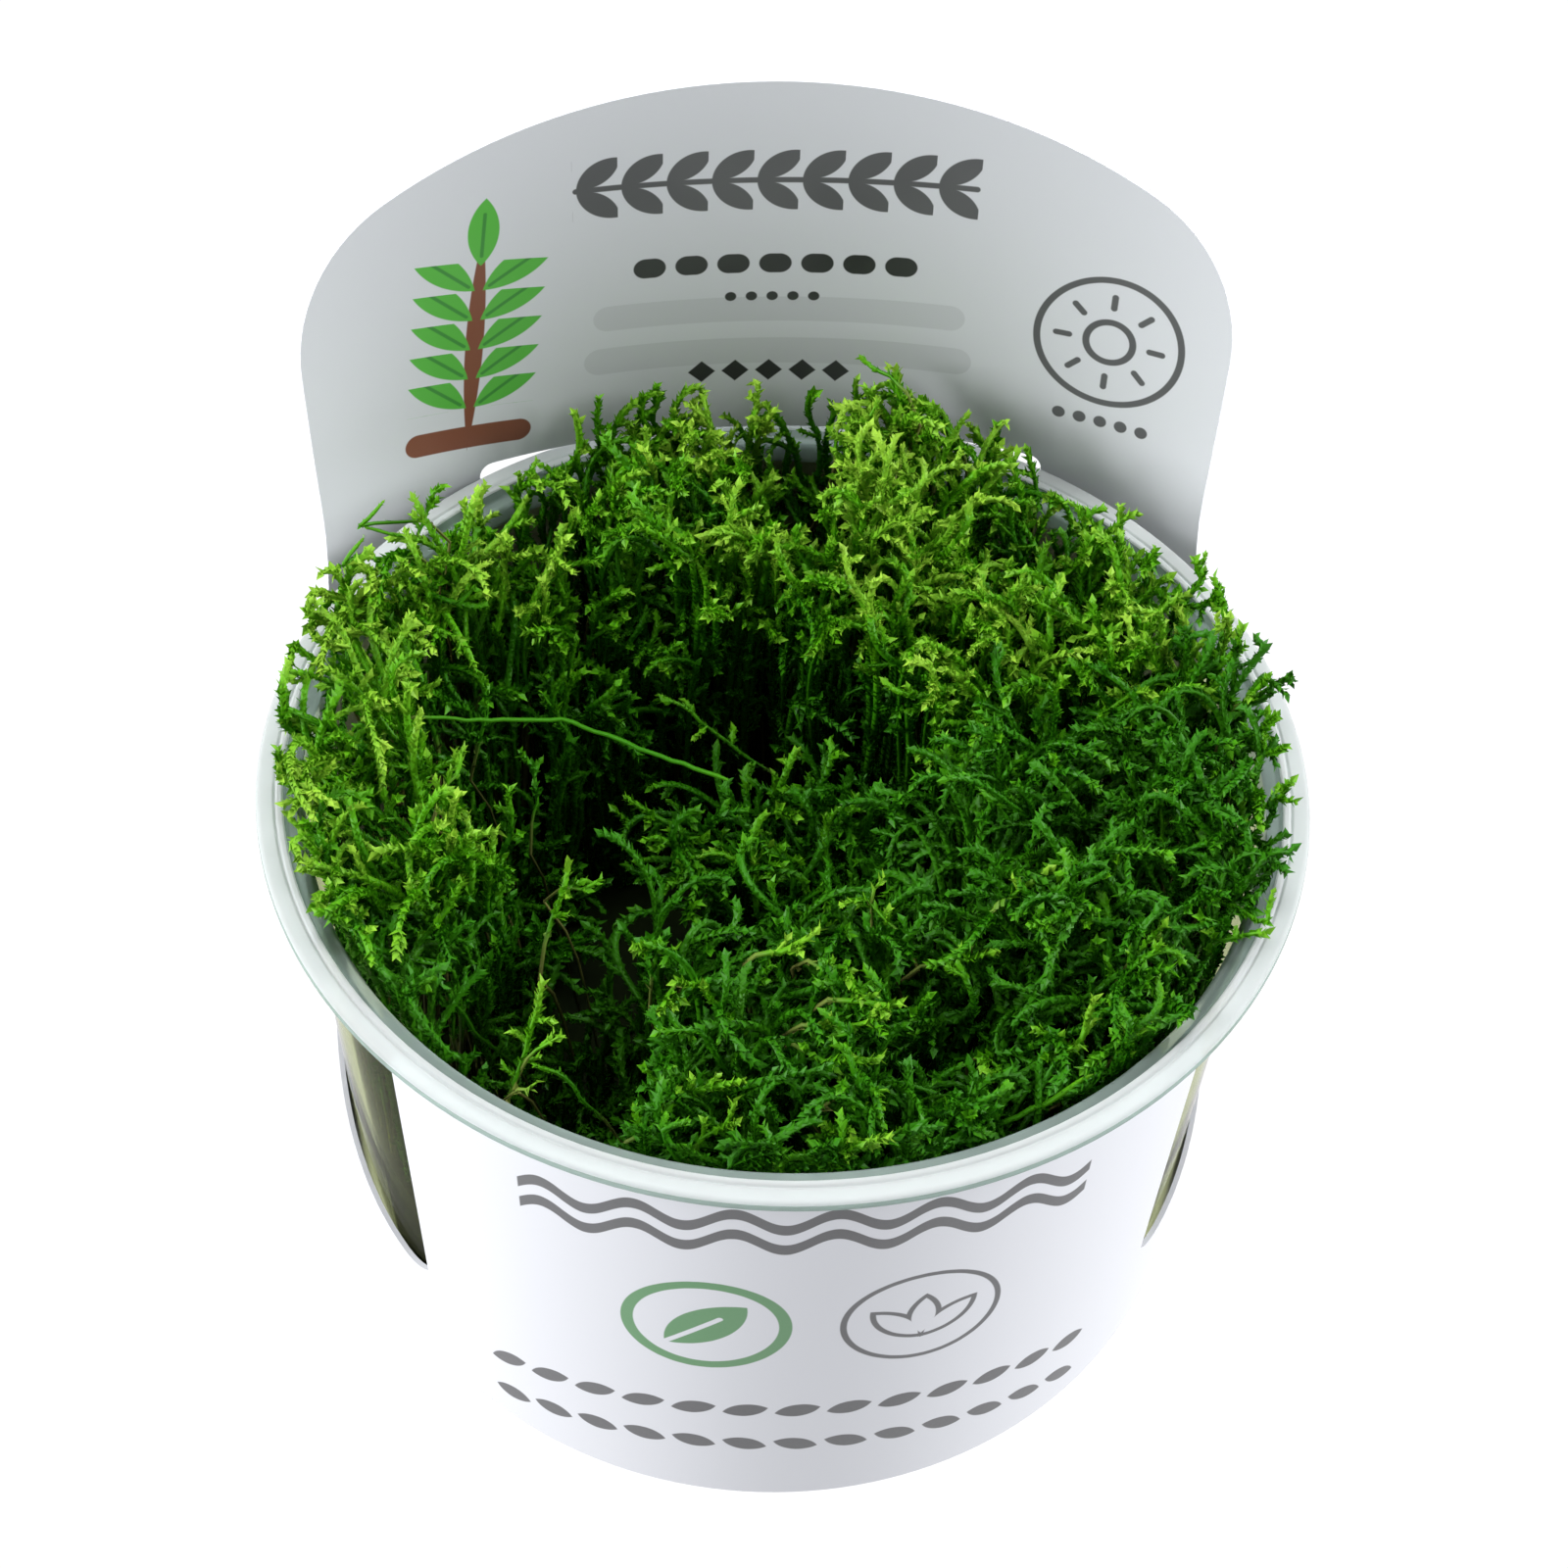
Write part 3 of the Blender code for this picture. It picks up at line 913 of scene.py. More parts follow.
@dataclass
class CardSleeve:
    """The die-cut card: a ring round the cup with a tall arched back panel."""

    cup: CultureCup
    gap: float = 0.3 * MM
    thickness: float = 0.5 * MM
    bottom: float = 0.9 * MM
    apex: float = 100.0 * MM
    half_width: float = 45.4 * MM
    arch_radius: float = 76.8 * MM
    shoulder_radius: float = 18.0 * MM
    bend_start: float = 26.0 * MM
    back_at_rim: float = 45.2 * MM
    bend_at_rim: float = 74.0 * MM
    rim_bottom: float = 57.0 * MM
    window_top: float = 60.0 * MM
    window_low_place: float = 91.5 * MM
    window_low: float = 15.0 * MM
    window_front: float = 95.9 * MM
    hook_radius: float = 5.8 * MM
    front_top: float = 55.4 * MM
    front_corner: float = 5.0 * MM
    slot_half_length: float = 28.6 * MM
    slot_bottom: float = 55.7 * MM
    slot_top: float = 58.5 * MM
    strip: float = 1.6 * MM
    row: float = 2.4 * MM
    panel_height: float = 100.0 * MM

    def hug_radius(self, height: float) -> float:
        """Return the radius of the card's middle layer where it hugs the cup."""
        return self.cup.wall_radius(height) + self.gap + self.thickness / 2

    @property
    def wrap_radius(self) -> float:
        """Return the radius at which the blank keeps its length."""
        return self.hug_radius(self.bend_start)

    @property
    def half_length(self) -> float:
        """Return half the blank's length."""
        return math.pi * self.wrap_radius

    def half_blank(self) -> Outline:
        """Work out the outline of half the flat card.

        Returns:
            Distance from the middle of the back, and height, of its points.
        """
        arch = (0.0, self.apex - self.arch_radius)
        shoulder_x = self.half_width - self.shoulder_radius
        reach = self.arch_radius - self.shoulder_radius
        shoulder = (shoulder_x, arch[1] + math.sqrt(reach ** 2 - shoulder_x ** 2))
        meet = math.degrees(math.atan2(shoulder[1] - arch[1], shoulder_x))
        slot_radius = (self.slot_top - self.slot_bottom) / 2
        slot = (self.slot_half_length - slot_radius, (self.slot_top + self.slot_bottom) / 2)
        hook = (self.window_low_place, self.window_low + self.hook_radius)
        hook_turn = math.degrees(math.asin((self.window_front - hook[0]) / self.hook_radius))
        corner = (self.window_front + self.front_corner, self.front_top - self.front_corner)

        line = [(0.0, self.slot_top)]
        line += arc_points(arch, self.arch_radius, 90.0, meet, 20)
        line += arc_points(shoulder, self.shoulder_radius, meet, 0.0, 14)[1:]
        sweep = 26
        for step in range(sweep + 1):
            turn = math.pi / 2 * step / sweep
            across = (hook[0] - self.half_width) * (1.0 - math.cos(turn))
            drop = (self.window_top - self.window_low) * math.sin(turn)
            line.append((self.half_width + across, self.window_top - drop))
        line += arc_points(hook, self.hook_radius, -90.0, hook_turn - 90.0, 6)[1:]
        line += arc_points(corner, self.front_corner, 180.0, 90.0, 9)
        line += [(self.half_length, self.front_top), (self.half_length, self.bottom), (0.0, self.bottom)]
        line.append((0.0, self.slot_bottom))
        line += arc_points(slot, slot_radius, -90.0, 90.0, 10)
        return line

    def bent(self, across: float, height: float, opened: bool) -> Vector:
        """Place a point of the flat card on the bent one.

        Args:
            across: distance from the middle of the back; the left side is below nil.
            height: above the base.
            opened: true on the back panel, which the rim holds off the cup.

        Returns:
            The place of the card's middle layer.
        """
        wrap = self.wrap_radius
        if not opened:
            radius = self.hug_radius(height)
            angle = across / wrap
            return Vector((radius * math.sin(angle), radius * math.cos(angle), height))
        rise = (height - self.bend_start) / (self.rim_bottom - self.bend_start)
        radius = wrap + (self.bend_at_rim - wrap) * rise
        back = wrap + (self.back_at_rim - wrap) * min(rise, 1.0)
        angle = across / radius
        return Vector((radius * math.sin(angle), back - radius + radius * math.cos(angle), height))

    def flat_half(self) -> bmesh.types.BMesh:
        """Fill half the blank's outline and cut it into strips and rows.

        Returns:
            A flat mesh with across along X and height along Y.
        """
        curve = bpy.data.curves.new("card_blank", "CURVE")
        curve.dimensions = "2D"
        curve.fill_mode = "BOTH"
        points = self.half_blank()
        spline = curve.splines.new("POLY")
        spline.points.add(len(points) - 1)
        for point, (across, height) in zip(spline.points, points):
            point.co = (across, height, 0.0, 1.0)
        spline.use_cyclic_u = True
        mesh = evaluated_mesh(add_object("card_blank", curve))

        half = bmesh.new()
        half.from_mesh(mesh)
        bpy.data.meshes.remove(mesh)
        bmesh.ops.remove_doubles(half, verts=half.verts, dist=TOUCH)
        bmesh.ops.dissolve_limit(half, angle_limit=math.radians(0.5), use_dissolve_boundaries=False,
                                 verts=half.verts, edges=half.edges, delimit=set())
        strips = round(self.half_length / self.strip)
        rows = round(self.apex / self.row)
        sideways = Vector((1, 0, 0))
        upwards = Vector((0, 1, 0))
        cuts = [(sideways * (self.half_length * step / strips), sideways) for step in range(1, strips)]
        cuts += [(upwards * (self.apex * step / rows), upwards) for step in range(1, rows)]
        cuts.append((upwards * self.bend_start, upwards))
        for place, direction in cuts:
            geometry = half.verts[:] + half.edges[:] + half.faces[:]
            bmesh.ops.bisect_plane(half, geom=geometry, dist=0.02 * MM, plane_co=place, plane_no=direction)
        bmesh.ops.triangulate(half, faces=[f for f in half.faces if len(f.verts) > 4])
        return half

    def layer_point(self, across: float, height: float, offset: float) -> Vector:
        """Place a point of one of the card's two faces.

        Args:
            across: distance from the middle of the back.
            height: above the base.
            offset: distance outwards from the card's middle layer.

        Returns:
            The point.
        """
        opened = height > self.bend_start and abs(across) < self.window_low_place
        tiny = 0.05 * MM
        here = self.bent(across, height, opened)
        side = self.bent(across + tiny, height, opened) - here
        rise = self.bent(across, height + tiny, opened) - here
        return here + rise.cross(side).normalized() * offset

    def build(self, finish: Finish) -> bpy.types.Object:
        """Bend the blank, give it its thickness and its finish.

        Args:
            finish: the card's finish.

        Returns:
            The finished sleeve.
        """
        half = self.flat_half()
        half.verts.index_update()
        half.faces.ensure_lookup_table()
        flat = [(vertex.co.x, vertex.co.y) for vertex in half.verts]
        faces = [[vertex.index for vertex in face.verts] for face in half.faces]
        if half.faces[0].normal.z < 0.0:
            faces = [face[::-1] for face in faces]
        half.free()

        made = bmesh.new()
        sheet = made.loops.layers.uv.new("sheet")
        spots: dict[tuple[int, int, int], bmesh.types.BMVert] = {}

        def corner(mirror: int, index: int, layer: int) -> bmesh.types.BMVert:
            """Return the vertex of a blank's point, shared where the halves meet."""
            across, height = flat[index]
            seam = across < TOUCH or across > self.half_length - TOUCH
            key = (1 if seam else mirror, index, layer)
            if key not in spots:
                place = self.layer_point(mirror * across, height, layer * self.thickness / 2)
                spots[key] = made.verts.new(place)
            return spots[key]

        def add_face(mirror: int, indices: list[int], layers: list[int]) -> None:
            """Add a face and write its places on the sheet to its UV map."""
            pairs = list(zip(indices, layers))
            if mirror < 0:
                pairs.reverse()
            face = made.faces.new([corner(mirror, index, layer) for index, layer in pairs])
            inside = all(layer < 0 for _, layer in pairs)
            start = Side.INSIDE.value if inside else Side.OUTSIDE.value
            for loop, (index, _) in zip(face.loops, pairs):
                across, height = flat[index]
                loop[sheet].uv = (0.5 + mirror * across / (2 * self.half_length),
                                  start + height / (2 * self.panel_height))
            face.smooth = True

        rims: dict[tuple[int, int], int] = {}
        for face in faces:
            for first, second in zip(face, face[1:] + face[:1]):
                rims[(first, second)] = rims.get((first, second), 0) + 1
        for mirror in (1, -1):
            for face in faces:
                add_face(mirror, face[::-1], [1] * len(face))
                add_face(mirror, face, [-1] * len(face))
            for first, second in rims:
                ends = (flat[first][0], flat[second][0])
                on_seam = max(ends) < TOUCH or min(ends) > self.half_length - TOUCH
                if (second, first) not in rims and not on_seam:
                    add_face(mirror, [first, second, second, first], [1, 1, -1, -1])

        bmesh.ops.recalc_face_normals(made, faces=made.faces)
        mesh = finished_mesh("card_sleeve_look", made)
        mesh.set_sharp_from_angle(angle=math.radians(45.0))
        return add_piece("card_sleeve_look", mesh, finish.make(), "card_sleeve")


@dataclass
class Shoot:
    """One guide line, dressed later as a stem with its leaves."""

    points: list[Vector]
    stem: list[float]
    leaf: list[float]
    leafy: list[float]
    # Colour value per point: age and tone times painted shade and painted light.
    youth: list[float]
    ring: float


@dataclass(frozen=True)
class Habit:
    """How a tuft's shoots grow: mm, degrees, and bends in radians per mm."""

    spacing: float
    crook: tuple[float, float]
    curl: tuple[float, float]
    branch_gap: tuple[float, float]
    branch_length: tuple[float, float]
    branch_angle: tuple[float, float]
    leafy: tuple[float, float]
    rise: tuple[float, float]
    lean: float
    comb: float
    bright: float = 0.0
    sweep: tuple[float, float, float] = (0.0, 0.0, 0.0)
    ragged: float = 2.2


class Growth(Enum):
    """The habits that the tufts have."""

    UPRIGHT = Habit(
        spacing=3.4, crook=(4.0, 10.0), curl=(0.10, 0.34), branch_gap=(1.2, 2.8), branch_length=(0.9, 2.8),
        branch_angle=(35.0, 75.0), leafy=(14.0, 22.0), rise=(0.00, 0.07), lean=0.5, comb=0.10, bright=0.21,
        ragged=3.6)
    TANGLED = Habit(
        spacing=3.5, crook=(8.0, 18.0), curl=(0.08, 0.30), branch_gap=(3.4, 7.5), branch_length=(1.0, 3.2),
        branch_angle=(30.0, 75.0), leafy=(13.0, 19.0), rise=(-0.03, 0.04), lean=0.3, comb=0.25,
        bright=-0.25)
    SWEPT = Habit(
        spacing=3.5, crook=(9.0, 19.0), curl=(0.06, 0.26), branch_gap=(3.6, 8.0), branch_length=(1.0, 3.2),
        branch_angle=(25.0, 70.0), leafy=(13.0, 19.0), rise=(-0.02, 0.04), lean=0.7, comb=0.25,
        bright=0.25, sweep=(-0.3, 0.2, 0.1))
    LOW = Habit(
        spacing=3.3, crook=(7.0, 14.0), curl=(0.08, 0.26), branch_gap=(2.8, 6.5), branch_length=(1.0, 3.2),
        branch_angle=(30.0, 75.0), leafy=(13.0, 20.0), rise=(-0.02, 0.05), lean=0.0, comb=0.25,
        bright=-0.14, sweep=(-0.7, -0.1, 0.0))


# Only the side shoots' values count here, because a marked shoot's own line is given
MARK_TWIGS = Habit(
    spacing=0.0, crook=(0.0, 0.0), curl=(0.0, 0.0), branch_gap=(0.9, 2.0), branch_length=(0.8, 1.9),
    branch_angle=(40.0, 75.0), leafy=(0.0, 0.0), rise=(0.0, 0.03), lean=0.0, comb=0.3)


@dataclass(frozen=True)
class StemShape:
    """How a stem rises from the gel and turns into its free tip: mm, and shares of its length."""

    pieces: int = 14
    inward: tuple[float, float] = (0.05, 0.28)
    root_scatter: float = 0.6
    bow_at: float = 0.62
    bow_height: float = 0.66
    bow_drift: float = 3.2
    sway: float = 1.2
    sway_across: float = 3.1
    sway_along: float = 4.0
    shortest: float = 4.0
    tip_room: float = 0.8
    tip_drop: float = 0.45
    pit_depth: float = 20.0
    pit_curb: float = 0.6
    steep_from: float = 35.0
    steep_over: float = 6.0
    steepness: float = 0.85
    lean_from: float = 28.0
    lean_over: float = 15.0
    lean_share: tuple[float, float] = (0.2, 1.6)
    tip_drift: float = 2.4
    sweep_share: tuple[float, float] = (0.4, 1.4)
    scatter: float = 0.32
    tone_gain: float = 5.0
    tone_spread: float = 0.50
    tone_patches: float = 1.5
    leafy_tip: float = 0.5
    leaf_share: tuple[float, float] = (0.85, 1.1)
    stem_share: tuple[float, float] = (0.8, 1.2)


@dataclass(frozen=True)
class TipShape:
    """How a free tip winds: mm, shares and bends in radians per mm."""

    height_spread: float = 0.7
    shake: float = 0.16
    bow_over: float = 3.0
    bow_down: float = 0.35
    hook_start: float = 0.5
    hook_growth: float = 1.3
    taper: float = 0.5


@dataclass(frozen=True)
class TwigShape:
    """How side shoots follow each other: mm, and shares of what the habit says."""

    flatness: float = 0.4
    first_gap: tuple[float, float] = (1.2, 3.0)
    comb_gap: float = 0.7
    gap_growth: float = 16.0
    full_length: float = 9.0
    length_share: tuple[float, float] = (0.55, 1.15)
    curl: tuple[float, float] = (0.15, 0.65)
    extra_rise: float = 0.03
    leafy: float = 90.0
    leaf_share: tuple[float, float] = (0.8, 1.0)
    tone_spread: float = 0.2
    stem_share: float = 0.85


@dataclass(frozen=True)
class MarkShape:
    """How a marked shoot is joined to a stem of its own: mm, and shares of its first point's place."""

    extra_reach: float = 0.4
    extra_top: float = 1.0
    root: float = 0.82
    bend: float = 0.95
    bend_height: float = 0.7
    joint_back: float = 2.0
    joint_down: float = 3.0
    twiggy: float = 0.9
    wobble: float = 0.25
    wobble_pitch: float = 1.6


@dataclass(frozen=True)
class Room:
    """Where a shoot may grow, in mm.

    Attributes:
        reach: how far its tip may lean over the rim, from the axis.
        top: its largest height.
        over: how far its tip may stand above the moss round it.
        light: height that light reaches undimmed.
    """

    reach: float
    top: float
    over: float
    light: float


@dataclass(frozen=True)
class Dip:
    """A low place in the moss's top, in mm, darker by real shadow and by painted shade."""

    centre: tuple[float, float]
    radii: tuple[float, float]
    depth: float

    def at(self, across: float, along: float) -> float:
        """Return how much lower the top is at a place."""
        sideways = (across - self.centre[0]) / self.radii[0]
        forwards = (along - self.centre[1]) / self.radii[1]
        return self.depth * max(1.0 - math.hypot(sideways, forwards) ** 2, 0.0)


# Outer radius of the ring of tufts, and how far from the axis their tips may start, in mm
TUFT_RADIUS = 43.0
FURTHEST_TIP = 43.2


@dataclass
class MossTuft:
    """One portion of moss: stems that rise from the gel and end in leafy shoots."""

    name: str
    start: float
    end: float
    inner: float
    tops: tuple[float, float, float]
    reach: float
    growth: Growth
    seed: int

    @property
    def area(self) -> float:
        """Return the tuft's plan area in square mm."""
        return (TUFT_RADIUS ** 2 - self.inner ** 2) / 2 * math.radians(self.end - self.start)

    def top(self, along: float) -> float:
        """Return the height of the tips, in mm, at a share of the sector from -1 to 1."""
        edge = self.tops[0] if along < 0.0 else self.tops[2]
        return self.tops[1] + (edge - self.tops[1]) * abs(along)

    def spot(self, dice: random.Random) -> tuple[float, float, float]:
        """Pick where a shoot ends.

        Args:
            dice: the tuft's random numbers.

        Returns:
            Place across and along, and the height of the tuft's top there, in mm.
        """
        along = dice.uniform(-1.0, 1.0)
        angle = math.radians((self.start + self.end) / 2 + along * (self.end - self.start) / 2)
        radius = math.sqrt(dice.uniform(self.inner ** 2, FURTHEST_TIP ** 2))
        return radius * math.cos(angle), radius * math.sin(angle), self.top(along)


@dataclass
class MiddleTuft(MossTuft):
    """The low round tuft beside the open hollow."""

    centre: tuple[float, float] = (3.5, -1.0)
    radius: float = 11.0

    @property
    def area(self) -> float:
        """Return the tuft's plan area in square mm."""
        return math.pi * self.radius ** 2

    def spot(self, dice: random.Random) -> tuple[float, float, float]:
        """Pick where a shoot ends.

        Args:
            dice: the tuft's random numbers.

        Returns:
            Place across and along, and the height of the tuft's top there, in mm.
        """
        angle = dice.uniform(0.0, 2.0 * math.pi)
        radius = self.radius * math.sqrt(dice.random())
        return (self.centre[0] + radius * math.cos(angle), self.centre[1] + radius * math.sin(angle),
                self.tops[1])


@dataclass(frozen=True)
class Viewpoint:
    """Where the picture is taken from; a pixel is a place in a frame of 1600 by 1600."""

    heading: float = -5.3
    elevation: float = 48.6
    roll: float = 2.72
    stand_off: float = 189.0 * MM
    height: float = 269.8 * MM
    lens: float = 72.0
    film: float = 36.0
    frame_width: int = 1600

    def matrix(self) -> Matrix:
        """Return the camera's place and direction."""
        heading = Matrix.Rotation(math.radians(self.heading), 4, "Z")
        tilt = Matrix.Rotation(math.radians(90.0 - self.elevation), 4, "X")
        roll = Matrix.Rotation(math.radians(self.roll), 4, "Z")
        stand = Matrix.Translation(heading @ Vector((0.0, -self.stand_off, self.height)))
        return stand @ heading @ tilt @ roll

    def at_height(self, pixel: Vector, height: float) -> Vector:
        """Find what a pixel shows at a height.

        Args:
            pixel: across and down.
            height: above the base, in mm.

        Returns:
            The place, in mm.
        """
        matrix = self.matrix()
        centre = self.frame_width / 2
        scale = self.film / self.lens / self.frame_width
        sight = Vector(((pixel.x - centre) * scale, (centre - pixel.y) * scale, -1.0))
        way = matrix.to_3x3() @ sight
        eye = matrix.translation / MM
        return eye + way * ((height - eye.z) / way.z)

    def build(self) -> bpy.types.Object:
        """Return the scene's camera."""
        data = bpy.data.cameras.new("camera")
        data.lens = self.lens
        data.sensor_width = self.film
        data.clip_start = 10 * MM
        camera = add_object("camera", data)
        camera.matrix_world = self.matrix()
        bpy.context.scene.camera = camera
        return camera


@dataclass(frozen=True)
class Mark:
    """A shoot that the photo shows plainly: its heights in mm and its pixels, from its foot to its tip."""

    heights: tuple[float, float]
    pixels: tuple[tuple[int, int], ...]
    tone: float = 1.0
    stem: float = 0.29
    leaf: float = 1.0
    bare: float = 0.0
    twigs: bool = True


